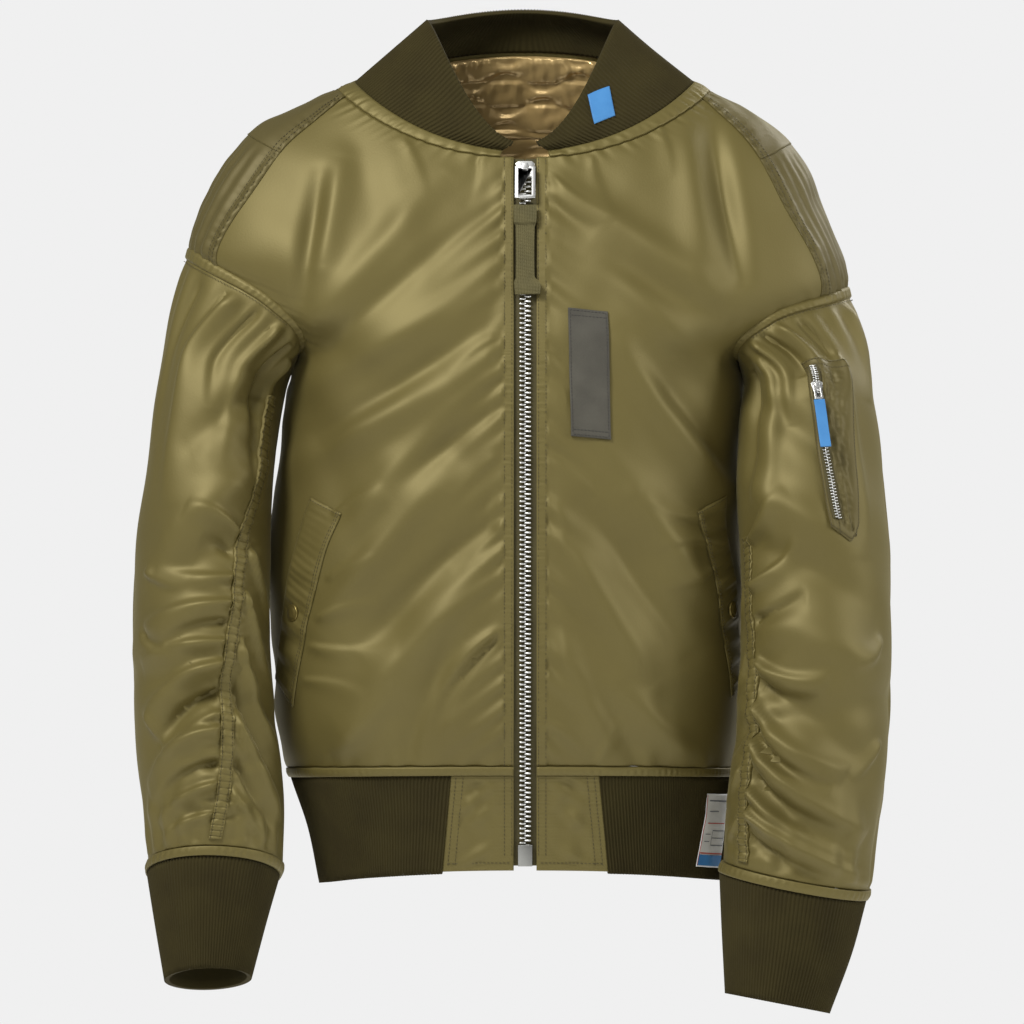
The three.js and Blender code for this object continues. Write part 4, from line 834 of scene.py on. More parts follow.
PATCH_GREY = surface(
    "patch_cloth", (62, 59, 50), (82, 79, 68), roughness=0.75, patch=22, grain=1100, depth=0.00025,
)
BLUE = surface("label_blue_weave", (58, 124, 184), (70, 136, 194), roughness=0.6, grain=1500, depth=0.0001)
WHITE = surface(
    "label_white_weave", (218, 218, 214), (230, 230, 226), roughness=0.65, grain=1500, depth=0.0001,
)
INK = surface("label_ink", (100, 104, 110), (112, 116, 122), roughness=0.7, grain=1500, depth=0.00005)
RED_INK = surface("label_red", (190, 64, 54), (200, 74, 64), roughness=0.7, grain=1500, depth=0.00005)


def zip_columns(a, edge_share, bend):
    """Where a column lies between the placket's stitching and the panel's outer edge."""
    return np.clip((a - edge_share) / (1 - edge_share), 0, 1) ** bend


def front_panel(side):
    levels = panel_levels(188, 60, 60)
    placket_share = 0.07

    def point(a, b, out):
        level = np.interp(b, shares(len(levels) - 1), levels)
        inner = np.abs(angle_beside_zip(side * ZIP_EDGE, level))
        placket = np.abs(angle_beside_zip(side * PLACKET_EDGE, level))
        outer = 90 - panel_edge(level) + SEAM_OVERLAP
        beyond = mix(placket, outer, zip_columns(a, placket_share, 1.12))
        angle = np.where(a < placket_share, mix(inner, placket, a / placket_share), beyond)
        return body_point(side * angle, level, out)

    name = f"front_{SIDE_NAMES[side]}_cloth"
    obj = wall(name, point, shares(116), shares(len(levels) - 1), SHELL)
    finish_piece(obj, SATIN, "jacket", "satin", f"front_{SIDE_NAMES[side]}")


def back_panel():
    levels = panel_levels(160, 52, 48)

    def point(a, b, out):
        level = np.interp(b, shares(len(levels) - 1), levels)
        edge = 90 + panel_edge(level)
        return body_point(signed_angle(mix(edge, FULL_TURN - edge, a)), level, out)

    obj = wall("back_cloth", point, shares(160), shares(len(levels) - 1), SHELL)
    finish_piece(obj, SATIN, "jacket", "satin", "back")


def saddle(side, upper):
    foot = float(armhole_top_level(SADDLE_ARM_HALF))
    seam = 0.004
    low = SADDLE_CROSS_LEVEL - seam if upper else foot
    high = NECK_TOP if upper else SADDLE_CROSS_LEVEL

    def point(a, b, out):
        across = 2 * a - 1
        edge_level = mix(low, high, b)
        raised = 0 if upper else armhole_top_level(across * SADDLE_ARM_HALF) - foot
        level = edge_level + raised * (high - edge_level) / (high - low)
        half = saddle_half((edge_level - foot) / (1 - foot)) + 0.45
        beside = (1 - np.abs(across)) * half * 3.6
        edge_wave = gathers(edge_level * 700, pitch=8.0, seed=61 + side) * np.exp(-beside / 9) * 1.5
        pleats = 0.0
        if not upper:
            pleats = gathers(across * 60, pitch=11.0, seed=63 + side) * 1.5 * smooth(1.0, 0.8, b)
        loose = ripple(across * 60, edge_level * 700, pitch=26, seed=66 + side) * 0.5
        inside_edge = smooth(1.0, 0.97, np.abs(across)) * smooth(0, 0.04, b) * smooth(1, 0.96, b)
        height = (edge_wave + pleats + loose) * inside_edge + (1.1 if upper else 0.5)
        return body_point(side * (90 + across * half), level, out + height)

    which = "upper" if upper else "lower"
    name = f"saddle_{which}_{SIDE_NAMES[side]}"
    obj = wall(f"{name}_cloth", point, shares(64), shares(40 if upper else 64), SHELL)
    # The saddle takes the darker satin, whose lower tones are painted shade for its browner sheen.
    finish_piece(obj, SATIN_PAINTED_SHADE, "jacket", "satin_saddle", name)


def sleeve(side):
    def point(a, b, out):
        return sleeve_point(side, FULL_TURN * a, mix(SLEEVE_START, 1, b), out)

    name = f"sleeve_{SIDE_NAMES[side]}"
    obj = wall(f"{name}_cloth", point, loop_shares(168), shares(272), SHELL, closed=True)
    finish_piece(obj, SATIN, "jacket", "satin", name)


def armhole_rim(side, turn, grow, out):
    """A place on the body just outside the armhole's edge."""
    angle = 90 - ARMHOLE_HALF_ANGLE * grow * np.sin(np.radians(turn))
    level = ARMHOLE_LEVEL + ARMHOLE_HALF_LEVEL * grow * np.cos(np.radians(turn))
    return body_point(side * angle, level, out)


def armhole_seam(side):
    """The binding over the armhole's seam, from the body's edge to the sleeve's."""
    def point(a, b, out):
        turn = FULL_TURN * a
        over = out > -1
        plateau = smooth(0, 0.16, b) * smooth(1, 0.84, b)
        lift = BINDING * smooth(35, 100, np.abs(turn - 180)) * plateau
        pucker = 0.35 * gathers(turn_length(turn), pitch=6.0, seed=71) * plateau
        height = (lift + pucker) * over
        body_edge = armhole_rim(side, turn, 1.065, out + height)
        sleeve_edge = sleeve_point(side, turn, np.full(np.shape(a), 0.013), out + height)
        return body_edge + (sleeve_edge - body_edge) * b[..., None]

    name = f"armhole_seam_{SIDE_NAMES[side]}"
    obj = wall(f"{name}_cloth", point, loop_shares(400), shares(8), SHELL, closed=True, lift=0.3)
    finish_piece(obj, SATIN, "jacket", "satin_saddle", name)


def ribbed(profile_point, ribs, depth):
    """A surface with ribs that run along its second direction, raised on both of its faces."""
    def point(a, b, out):
        wave = np.cos(math.tau * ribs * a)
        outer_face = out > -RIB_KNIT + 0.5
        return profile_point(a, b, out + np.where(outer_face, depth, -0.5 * depth) * wave)
    return point


def cuff(side):
    def smooth_point(a, b, out):
        return cuff_point(side, FULL_TURN * a, b, out)

    name = f"cuff_{SIDE_NAMES[side]}"
    ribs = 112
    obj = wall(f"{name}_knit", ribbed(smooth_point, ribs, 0.55), loop_shares(4 * ribs), shares(20),
               RIB_KNIT, step=2, closed=True)
    finish_piece(obj, RIB, "jacket", "rib_knit", name)


def cuff_binding(side):
    def point(a, b, out):
        turn = FULL_TURN * a
        bulge = 0.6 * np.sin(np.pi * b)
        pucker = 0.4 * gathers(turn_length(turn), pitch=6.0, seed=74) * np.sin(np.pi * b) * (out > 0)
        top = sleeve_point(side, turn, np.ones_like(a), out + bulge + pucker)
        foot = cuff_point(side, turn, np.zeros_like(a), out + bulge + pucker)
        return top + (foot - top) * mix(0.05, 0.95, b)[..., None]

    name = f"cuff_binding_{SIDE_NAMES[side]}"
    obj = wall(f"{name}_cloth", point, loop_shares(360), shares(8), SHELL + BINDING,
               closed=True, lift=BINDING)
    finish_piece(obj, SATIN, "jacket", "satin", name)


COLLAR_END = 6.2


def collar_surface(a, b, out):
    angle = signed_angle(mix(COLLAR_END, FULL_TURN - COLLAR_END, a))
    return collar_point(angle, b, out)


def collar():
    ribs = 196
    obj = wall("collar_knit", ribbed(collar_surface, ribs, 0.75), shares(4 * ribs), shares(20),
               RIB_KNIT, step=1)
    finish_piece(obj, RIB, "jacket", "rib_knit", "collar")


def neck_binding():
    def point(a, b, out):
        angle = signed_angle(mix(COLLAR_END, FULL_TURN - COLLAR_END, a))
        bulge = 0.7 * np.sin(np.pi * b) + 0.3 * gathers(angle * 2.2, pitch=7.0, seed=76) * np.sin(np.pi * b)
        foot = body_point(angle, np.full(np.shape(a), NECK_TOP), out + bulge * (out > 0))
        top = collar_point(angle, np.zeros(np.shape(a)), out + bulge * (out > 0))
        return foot + (top - foot) * mix(-0.1, 1.15, b)[..., None]

    obj = wall("neck_binding_cloth", point, shares(480), shares(8), SHELL + BINDING, lift=BINDING)
    finish_piece(obj, SATIN, "jacket", "satin", "neck_binding")


def hem_panel_edge(level):
    return 61 + 8 * level / HEM_FOOT


def hem_surface(a, b, out):
    level = mix(HEM_FOOT, -HEM_TOP, b)
    edge = hem_panel_edge(level) + 0.3
    start = angle_beside_zip(edge, level)
    end = FULL_TURN + angle_beside_zip(-edge, level)
    angle = signed_angle(mix(start, end, a))
    wave = ripple(a * 900, level * 500, pitch=90, seed=81) * 1.2
    return plain_body_point(angle, level, out + wave)


def hem_rib():
    ribs = 330
    obj = wall("hem_rib_knit", ribbed(hem_surface, ribs, 0.7), shares(4 * ribs), shares(16),
               RIB_KNIT, step=4)
    finish_piece(obj, RIB, "jacket", "rib_knit", "hem_rib")


def hem_binding():
    half = 0.0073

    def point(a, b, out):
        level = mix(-half, half, b)
        start = angle_beside_zip(ZIP_EDGE, level)
        end = FULL_TURN + angle_beside_zip(-ZIP_EDGE, level)
        angle = signed_angle(mix(start, end, a))
        bulge = 0.8 * np.sin(np.pi * b) + 0.35 * gathers(a * 1000, pitch=6.0, seed=83) * np.sin(np.pi * b)
        return plain_body_point(angle, level, out + bulge * (out > 0))

    obj = wall("hem_binding_cloth", point, shares(640), shares(8), SHELL + BINDING, lift=BINDING)
    finish_piece(obj, SATIN, "jacket", "satin", "hem_binding")


def hem_front(side):
    foot = HEM_FOOT + 0.004

    def point(a, b, out):
        level = mix(foot, -HEM_TOP, b)
        start = angle_beside_zip(side * ZIP_EDGE, level)
        end = angle_beside_zip(side * (hem_panel_edge(level) + 0.4), level)
        inside = np.sin(np.pi * np.clip((a - 0.16) / 0.66, 0, 1)) * smooth(0, 0.1, b) * smooth(1, 0.9, b)
        crumple = ripple(a * 60, b * 90, pitch=30, seed=85 + side) * 2.2
        crumple += gathers(b * 90 + a * 40, pitch=22, seed=87)
        edge_wave = 0.4 * gathers(b * 90, pitch=3.4, seed=88) * (1 - inside)
        return plain_body_point(mix(start, end, a), level, out + crumple * inside + edge_wave)

    name = f"hem_front_{SIDE_NAMES[side]}"
    obj = wall(f"{name}_cloth", point, shares(48), shares(72), SHELL)
    finish_piece(obj, SATIN, "jacket", "satin", name)


CENTRE_LEVELS = np.linspace(HEM_FOOT, 1.0, 1200)
CENTRE_LINE = body_base(np.zeros(1200), CENTRE_LEVELS)


def centre_level(z):
    """The level at which the body's centre front reaches a height."""
    return np.interp(z, CENTRE_LINE[:, 2], CENTRE_LEVELS)


def centre_front(x, z, out):
    level = centre_level(z)
    return plain_body_point(angle_beside_zip(x, level), level, out)


TAPE_BACK = SHELL + 0.5
CHAIN_LOW_Z = -623.0
CHAIN_HIGH_Z = -64.0
TOOTH_PITCH = 4.0


def zip_tape(side):
    low, high = HEM_FOOT + 0.012, NECK_TOP

    def point(a, b, out):
        level = mix(low, high, b)
        pucker = 0.25 * gathers(level * 700, pitch=4.0, seed=91) * smooth(9, 14, mix(0.4, 15, a))
        return plain_body_point(angle_beside_zip(side * mix(0.4, 15, a), level), level, out + pucker)

    name = f"zip_tape_{SIDE_NAMES[side]}"
    obj = wall(f"{name}_weave", point, shares(12), shares(320), 1.2, lift=-TAPE_BACK)
    finish_piece(obj, TAPE, "jacket", "zip_tape", name)


def frames_on_front(z, out):
    """Points down the centre front with the cloth's outward and upward directions there."""
    x = np.zeros(np.shape(z))
    point = centre_front(x, z, out)
    normal = unit(centre_front(x, z, out + 1.0) - point)
    across = np.broadcast_to([1.0, 0.0, 0.0], normal.shape)
    return point, across, unit(np.cross(normal, across)), normal


def prism(sides, rings):
    """A rounded bar along X: rings of a many-sided section, as (x, scale)."""
    turn = np.arange(sides) / sides * math.tau + math.pi / sides
    section = np.stack([np.cos(turn), np.sin(turn)], axis=-1)
    points = [np.column_stack([np.full(sides, x), section * scale]) for x, scale in rings]
    vertices = np.concatenate(points)
    quads = faces_of(np.arange(len(vertices)).reshape(len(rings), sides), True)
    last = np.arange(sides) + sides * (len(rings) - 1)
    return vertices, quads, [np.arange(sides)[::-1][None, :], last[None, :]]


def repeated(name, vertices, quads, caps, origins, axes, sizes):
    """Many copies of a small form as one mesh. axes holds three directions for each copy."""
    scaled = vertices[None, :, :] * sizes[:, None, :]
    placed = origins[:, None, :] + np.einsum("nvk,nkc->nvc", scaled, axes)
    offsets = (np.arange(len(origins)) * len(vertices))[:, None, None]
    spread_quads = (quads[None] + offsets).reshape(-1, quads.shape[1])
    spread_caps = [(cap[None] + offsets).reshape(-1, cap.shape[1]) for cap in caps]
    return mesh_object(name, placed.reshape(-1, 3), [spread_quads], spread_caps)


def teeth(name, frames, offset, half_sizes, form):
    """A zip's teeth, turned to one side and the other in turn, each offset from the middle."""
    middle, across, up, normal = frames
    side = np.where(np.arange(len(middle)) % 2 == 0, 1.0, -1.0)
    sizes = np.tile(half_sizes, (len(middle), 1))
    sizes[:, 0] *= side
    axes = np.stack([across, up, normal], axis=1)
    return repeated(name, *form, middle + across * (side * offset)[:, None], axes, sizes)


def main_teeth():
    count = int((CHAIN_HIGH_Z - CHAIN_LOW_Z) / TOOTH_PITCH)
    z = CHAIN_LOW_Z + np.arange(2 * count) * TOOTH_PITCH / 2
    rings = [(-1.0, 0.45), (-0.9, 0.85), (0.62, 1.0), (0.92, 0.9), (1.0, 0.55)]
    obj = teeth("zip_chain_teeth", frames_on_front(z, -0.5), 2.1, (2.7, 0.92, 1.3), prism(8, rings))
    finish_piece(obj, SILVER, "jacket", "zip_metal", "zip_teeth")


def stitched(name, paths, material, slot_name, pitch=3.3, length=2.3, radius=0.27):
    """Rows of stitches, as one mesh. Each path is a row of points that lie on the cloth."""
    middles, headings = [], []
    for path in paths:
        steps = np.linalg.norm(np.diff(path, axis=0), axis=1)
        travelled = np.concatenate([[0], np.cumsum(steps)])
        at = np.arange(pitch / 2, travelled[-1], pitch)

        def place(at):
            return np.stack([np.interp(at, travelled, path[:, i]) for i in range(3)], axis=-1)

        middles.append(place(at))
        headings.append(unit(place(at + 0.8) - place(at - 0.8)))
    origins, along = np.concatenate(middles), np.concatenate(headings)
    other = np.where(np.abs(along[:, 1:2]) < 0.8, [[0.0, 1.0, 0.0]], [[1.0, 0.0, 0.0]])
    side = unit(np.cross(along, other))
    axes = np.stack([along, side, np.cross(along, side)], axis=1)
    vertices, quads, caps = prism(5, [(-1.0, 0.2), (-0.7, 1.0), (0.7, 1.0), (1.0, 0.2)])
    sizes = np.tile([length / 2, radius, radius], (len(origins), 1))
    obj = repeated(name, vertices, quads, caps, origins, axes, sizes)
    return finish_piece(obj, material, "jacket", slot_name)


MERGE_DISTANCE = 0.00001
FLAT_ANGLE = math.radians(2)


def cleaned_copy(node):
    """A solid's mesh copied without its materials, and its faces joined, ready for editing."""
    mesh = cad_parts[node].data.copy()
    mesh.materials.clear()
    work = bmesh.new()
    work.from_mesh(mesh)
    bmesh.ops.remove_doubles(work, verts=work.verts, dist=MERGE_DISTANCE)
    bmesh.ops.dissolve_limit(work, angle_limit=FLAT_ANGLE, verts=work.verts, edges=work.edges)
    return mesh, work


def rounded_object(name, mesh, work, modifier_name, width, segments):
    """The edited mesh as a smooth object, with a bevel of so many millimetres on its edges."""
    for face in work.faces:
        face.smooth = True
    work.to_mesh(mesh)
    work.free()
    obj = linked(name, mesh)
    bevel = obj.modifiers.new(modifier_name, "BEVEL")
    bevel.width = width * MM
    bevel.segments = segments
    bevel.limit_method = "ANGLE"
    return obj, bevel


def bevelled(node, width, material, body, slot_name):
    """A copy of a hard solid with its edges rounded."""
    mesh, work = cleaned_copy(node)
    obj, bevel = rounded_object(f"{node}_rounded", mesh, work, "rounded_edges", width, 3)
    bevel.harden_normals = True
    return finish_piece(obj, material, body, slot_name, node)


STRAP_ROWS = np.array([
    [-92.6, 9.5, 6.2], [-96, 9.6, 7.4], [-101, 9.6, 6.9], [-107, 9.4, 6.3], [-108.5, 7.9, 4.3],
    [-124, 7.6, 4.2], [-140, 7.6, 3.9], [-152, 7.8, 4.0], [-156, 10.6, 4.8], [-160, 11.0, 5.6],
    [-166, 10.4, 4.9],
])


def pull_strap():
    rows = STRAP_ROWS[::-1]

    def point(a, b, out):
        z = mix(rows[0, 0], rows[-1, 0], b)
        half = np.interp(z, rows[:, 0], rows[:, 1])
        lift = np.interp(z, rows[:, 0], rows[:, 2])
        cord = 0.2 * (np.cos(math.tau * 9 * a) + np.cos(math.tau * (b * 26 + a))) * (out > -1)
        twist = smooth(-150, -158, z) * (a - 0.5) * 2.2
        across = mix(-half, half, a) + smooth(-150, -160, z) * 2.0
        spot = centre_front(np.zeros(np.shape(z)), z, out + lift + cord + twist)
        return spot + stack(across, 0 * across, 0 * across)

    obj = wall("zip_pull_strap_webbing", point, shares(56), shares(120), 1.9)
    finish_piece(obj, WEBBING, "main_pull", "webbing", "zip_pull_strap")


PATCH_CORNERS = {"left": 35.5, "right": 68.5, "top": -177, "foot": -283, "drop": -3, "lean": 2.5}


def patch_place(a, b):
    edge = PATCH_CORNERS
    x = mix(edge["left"], edge["right"], a) + edge["lean"] * (1 - b)
    z = mix(edge["foot"], edge["top"], b) + edge["drop"] * a
    return front_place(x, z)


def chest_patch():
    def point(a, b, out):
        angle, level = patch_place(a, b)
        return body_point(angle, level, out + 0.4 * ripple(a * 33, b * 106, pitch=30, seed=95) * (out > 0))

    obj = wall("chest_patch_cloth", point, shares(24), shares(72), 1.3, lift=1.9)
    finish_piece(obj, PATCH_GREY, "jacket", "patch", "chest_patch")
    inset_a, inset_b = 0.05, 0.016
    far_a, far_b = 1 - inset_a, 1 - inset_b
    ring = [(inset_a, inset_b), (far_a, inset_b), (far_a, far_b), (inset_a, far_b), (inset_a, inset_b)]
    rows = [ring, [(inset_a, 0.055), (far_a, 0.055)], [(inset_a, 0.945), (far_a, 0.945)]]
    paths = []
    for row in rows:
        corners = np.array(row)
        at = np.linspace(0, len(corners) - 1, 40 * (len(corners) - 1))
        a = np.interp(at, range(len(corners)), corners[:, 0])
        b = np.interp(at, range(len(corners)), corners[:, 1])
        paths.append(point(a, b, 2.0))
    stitched("chest_patch_stitches", paths, GREY_THREAD, "patch", pitch=3.0)


WELTS = {
    LEFT: {"top": (50, 65), "foot": (69, 83), "top_level": (0.4, 0.43), "foot_level": (0.12, 0.15)},
    RIGHT: {"top": (44, 58), "foot": (66, 80), "top_level": (0.395, 0.425),
            "foot_level": (0.105, 0.15)},
}
WELT_LIFT = 2.4


def welt_point(side, a, b, out):
    welt = WELTS[side]
    angle = mix(mix(*welt["foot"], a), mix(*welt["top"], a), b)
    level = mix(mix(*welt["foot_level"], a), mix(*welt["top_level"], a), b)
    return body_point(side * angle, level, out)


def pocket_welt(side):
    def point(a, b, out):
        edge = np.minimum(np.minimum(a, 1 - a) * 24, np.minimum(b, 1 - b) * 190)
        roll = -1.6 * np.exp(-edge / 1.5)
        crumple = 1.1 * gathers(b * 190 + a * 12, pitch=24, seed=97 + side)
        crumple += 0.3 * gathers(b * 190, pitch=7, seed=99)
        crumple = crumple * smooth(0, 5, edge)
        return welt_point(side, a, b, out + (roll + crumple) * (out > 1.5))

    name = f"pocket_welt_{SIDE_NAMES[side]}"
    obj = wall(f"{name}_cloth", point, shares(28), shares(160), 1.6, lift=WELT_LIFT)
    finish_piece(obj, SATIN, "jacket", "satin", name)
    at = shares(120)
    inner = [point(np.full(121, share), at, WELT_LIFT + 0.1) for share in (0.06, 0.11)]
    across = shares(30)
    top = [point(across, np.full(31, share), WELT_LIFT + 0.1) for share in (0.012, 0.988)]
    stitched(f"{name}_stitches", inner + top, THREAD, "satin")


def lathe(name, profile, sides, origin, normal):
    """A turned form. profile is radius and height pairs, from the foot to the middle of the top."""
    across = unit(np.cross(normal, [0.0, 0.0, 1.0]))
    up = np.cross(normal, across)
    turn = np.arange(sides) / sides * math.tau
    rim = across * np.cos(turn)[:, None] + up * np.sin(turn)[:, None]
    rings = [origin + rim * radius + normal * height for radius, height in profile]
    vertices = np.concatenate(rings)
    quads = faces_of(np.arange(len(vertices)).reshape(len(profile), sides), True)
    last = np.arange(sides) + sides * (len(profile) - 1)
    return mesh_object(name, vertices, [quads], [np.arange(sides)[::-1][None], last[None]])


def pocket_snap(side):
    name = f"pocket_snap_{SIDE_NAMES[side]}"
    low, high = (np.array(corner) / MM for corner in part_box(name))
    spot = [np.array([share]) for share in (0.5, 0.42)]
    point = welt_point(side, *spot, 3.3)[0]
    normal = unit(welt_point(side, *spot, 6.3)[0] - point)
    centre = (low + high) / 2
    seat = centre - normal * 1.6
    profile = [(7.4, 0.0), (7.5, 1.1), (7.2, 1.9), (6.5, 2.3), (5.9, 2.1), (5.6, 2.2),
               (5.0, 2.7), (3.4, 3.1), (1.4, 3.2), (0.3, 3.2)]
    obj = lathe(f"{name}_cap", profile, 40, seat, normal)
    finish_piece(obj, BRASS, "jacket", "snap_metal", name)


def gather_strip(side):
    """The narrow band down the front of a sleeve, with even gathers between two stitch lines."""
    rows = GATHER_LINES[side]
    first, last = rows[0, 0], rows[-1, 0]
    waves = round((last - first) * SLEEVE_LENGTH / 6.4)
    half = 6.3

    def point(a, b, out):
        along = mix(first, last, b)
        turn = row_at(rows, along)[..., 1] + np.degrees(mix(-half, half, a) / SLEEVE_RADIUS)
        across = np.abs(2 * a - 1)
        phase = math.tau * waves * b + 0.5 * np.sin(b * 31) + 0.3 * np.sin(a * 6)
        tuck = 0.55 - 1.1 * np.exp(-((np.mod(phase, math.tau) - math.pi) / 0.75) ** 2)
        stitch_dip = -0.5 * np.exp(-((across - 0.7) / 0.12) ** 2)
        edge = -0.8 * smooth(0.84, 1.0, across)
        height = 0.7 + tuck + stitch_dip + edge
        return sleeve_point(side, turn, along, out + height * (out > 0.5))

    name = f"gather_strip_{SIDE_NAMES[side]}"
    obj = wall(f"{name}_cloth", point, shares(16), shares(8 * waves), 1.4, step=4, lift=1.2)
    finish_piece(obj, SATIN, "jacket", "satin_saddle", name)
    at = shares(400)
    paths = [point(np.full(401, share), at, 1.5) for share in (0.14, 0.86)]
    stitched(f"{name}_stitches", paths, THREAD, "satin_saddle", pitch=2.8, length=2.0)


POCKET = {
    "top": (93, 54), "foot": (80, 57), "top_along": (0.115, 0.125), "foot_along": (0.41, 0.445),
}


def pocket_point(a, b, out):
    turn = mix(mix(*POCKET["foot"], a), mix(*POCKET["top"], a), b)
    along = mix(mix(*POCKET["foot_along"], a), mix(*POCKET["top_along"], a), b)
    rounded = smooth(0.62, 1, a) * smooth(0.16, 0, b)
    along, turn = along - 0.022 * rounded, turn + 2.5 * rounded
    return sleeve_point(LEFT, turn, along, out)


def sleeve_pocket():
    def point(a, b, out):
        across, down = a * 46, (1 - b) * 150
        edge = np.minimum(np.minimum(across, 46 - across), np.minimum(down, 150 - down))
        crinkle = ripple(across, down * 0.7, pitch=11, seed=101) * 0.9
        crinkle += ripple(across, down, pitch=5, seed=102) * 0.35
        slots = 0.9 * np.cos(math.tau * (a * 3.2 + 0.2 * b)) * smooth(0.42, 0.1, b) * smooth(0.3, 0.5, a)
        frame_band = smooth(9, 6, np.minimum(across, down)) * 0.6
        body = (crinkle + slots) * smooth(6, 14, edge) * smooth(0.22, 0.34, a)
        roll = -1.8 * np.exp(-edge / 1.4)
        return pocket_point(a, b, out + (body + frame_band + roll) * (out > 1))

    obj = wall("sleeve_pocket_cloth", point, shares(64), shares(140), 1.6, lift=2.6)
    finish_piece(obj, SATIN_PAINTED_SHADE, "jacket", "satin_saddle", "sleeve_pocket")
    at = shares(140)
    sides = [point(np.full(141, share), at, 2.7) for share in (0.03, 0.3, 0.97)]
    ends = [point(at, np.full(141, share), 2.7) for share in (0.015, 0.94, 0.985)]
    stitched("sleeve_pocket_stitches", sides + ends, THREAD, "satin_saddle", pitch=2.8)


def sleeve_zip_line(across, b, out):
    along = mix(0.395, 0.135, b)
    turn = mix(74, 86, b) - np.degrees(across / SLEEVE_RADIUS)
    return sleeve_point(LEFT, turn, along, out)


def sleeve_zip():
    def point(a, b, out):
        return sleeve_zip_line(mix(-4.5, 4.5, a), b, out)

    tape = wall("sleeve_zip_tape", point, shares(8), shares(120), 0.8, lift=3.6)
    finish_piece(tape, TAPE, "jacket", "zip_tape")
    count = 104
    b = (np.arange(count) + 0.5) / count
    zero = np.zeros(count)
    middle = sleeve_zip_line(zero, b, 4.4)
    normal = unit(sleeve_zip_line(zero, b, 5.4) - middle)
    up = unit(sleeve_zip_line(zero, b + 0.01, 4.4) - middle)
    across = unit(np.cross(up, normal))
    form = prism(6, [(-1.0, 0.5), (-0.85, 0.9), (0.7, 1.0), (1.0, 0.6)])
    frames = (middle, across, up, normal)
    obj = teeth("sleeve_zip_teeth", frames, 1.1, (1.5, 0.62, 0.8), form)
    finish_piece(obj, SILVER, "jacket", "zip_metal", "sleeve_zip")


def sleeve_tag():
    """A soft tag on the sleeve zip's pull: the flat solid, cut finer and bent a little."""
    mesh, work = cleaned_copy("sleeve_zip_tag")
    bmesh.ops.subdivide_edges(work, edges=work.edges, cuts=7, use_grid_fill=True)
    places = np.array([vertex.co for vertex in work.verts])
    middle = places.mean(axis=0)
    _, _, axes = np.linalg.svd(places - middle, full_matrices=False)
    for vertex in work.verts:
        along = float((np.array(vertex.co) - middle) @ axes[0]) / MM
        bend = 0.5 * math.sin(along * 0.16) + 0.2 * math.sin(along * 0.47)
        vertex.co = vertex.co + Vector(axes[2] * bend * MM)
    obj, _ = rounded_object("sleeve_zip_tag_cloth", mesh, work, "soft_edges", 0.35, 2)
    finish_piece(obj, BLUE, "sleeve_pull", "label_blue", "sleeve_zip_tag")


# Corners of the collar's label, as shares along the collar and up it: lower, then upper.
COLLAR_LABEL = np.array([[[0.068, 0.4], [0.091, 0.3]], [[0.089, 0.88], [0.115, 0.65]]])
HEM_LABEL = {"start": 0.105, "end": 0.155, "low": 0.12, "high": 0.84, "slant": 0.02}


def collar_label():
    (low_start, low_end), (high_start, high_end) = COLLAR_LABEL

    def bowed(a, b, out):
        share, up = a[..., None], b[..., None]
        place = mix(mix(low_start, low_end, share), mix(high_start, high_end, share), up)
        lift = 0.9 + 0.7 * np.sin(np.pi * b) * (out > -0.5)
        return collar_surface(place[..., 0], place[..., 1], out + lift)

    obj = wall("collar_label_cloth", bowed, shares(16), shares(24), 0.7)
    finish_piece(obj, BLUE, "jacket", "label_blue", "collar_label")


def hem_label():
    size = HEM_LABEL

    def crumpled(a, b, out):
        along = mix(size["start"], size["end"], a) + size["slant"] * b
        raised = out + 0.5 * ripple(a * 50, b * 60, pitch=26, seed=111) * (out > -0.5)
        return hem_surface(along, mix(size["low"], size["high"], b), raised + 1.0)

    obj = wall("hem_label_cloth", crumpled, shares(24), shares(32), 0.7, lift=0.4)
    finish_piece(obj, WHITE, "jacket", "label_white", "hem_label")
    bands = [
        ("hem_label_band", BLUE, [(0.02, 0.98, 0.02, 0.17)]),
        ("hem_label_rules", INK, [
            (0.1, 0.9, 0.9, 0.915), (0.34, 0.92, 0.5, 0.512), (0.34, 0.92, 0.4, 0.412),
            (0.34, 0.92, 0.3, 0.312), (0.1, 0.28, 0.45, 0.46), (0.1, 0.28, 0.35, 0.36),
            (0.34, 0.352, 0.3, 0.5), (0.908, 0.92, 0.3, 0.5), (0.12, 0.5, 0.76, 0.772),
        ]),
        ("hem_label_edging", RED_INK, [
            (0.02, 0.98, 0.185, 0.2), (0.0, 0.02, 0.02, 0.98), (0.1, 0.9, 0.6, 0.612),
        ]),
    ]
    for name, ink, areas in bands:
        vertices, quads = [], []
        for low_a, high_a, low_b, high_b in areas:
            a, b = np.meshgrid(mix(low_a, high_a, shares(12)), mix(low_b, high_b, shares(12)))
            index = np.arange(a.size).reshape(a.shape) + 169 * len(vertices)
            vertices.append(crumpled(a, b, 0.75).reshape(-1, 3))
            quads.append(faces_of(index, False))
        band = mesh_object(name, np.concatenate(vertices), [np.concatenate(quads)])
        finish_piece(band, ink, "jacket", "label_white")


def quilting(x, z):
    """Height of the quilting: puffs between wavy stitched lines that meet their neighbours."""
    pitch, wave = 21.0, 62.0
    row = z / pitch
    line = np.floor(row)
    sway = 0.36 * np.sin(math.tau * x / wave)
    low = line + np.where(line % 2 == 0, sway, -sway)
    high = line + 1 + np.where(line % 2 == 0, -sway, sway)
    share = (row - low) / np.maximum(high - low, 0.12)
    inside = np.clip(share, 0, 1)
    puff = np.sin(np.pi * inside) ** 0.55
    crinkle = ripple(x, z * 0.6, pitch=8, seed=121) * 0.6 + ripple(x * 1.4, z, pitch=17, seed=122) * 0.7
    seam = np.exp(-((np.abs(x) - 2.2) / 1.2) ** 2)
    return (2.5 * puff + crinkle * (0.5 + 0.5 * puff)) * (1 - 0.8 * seam)


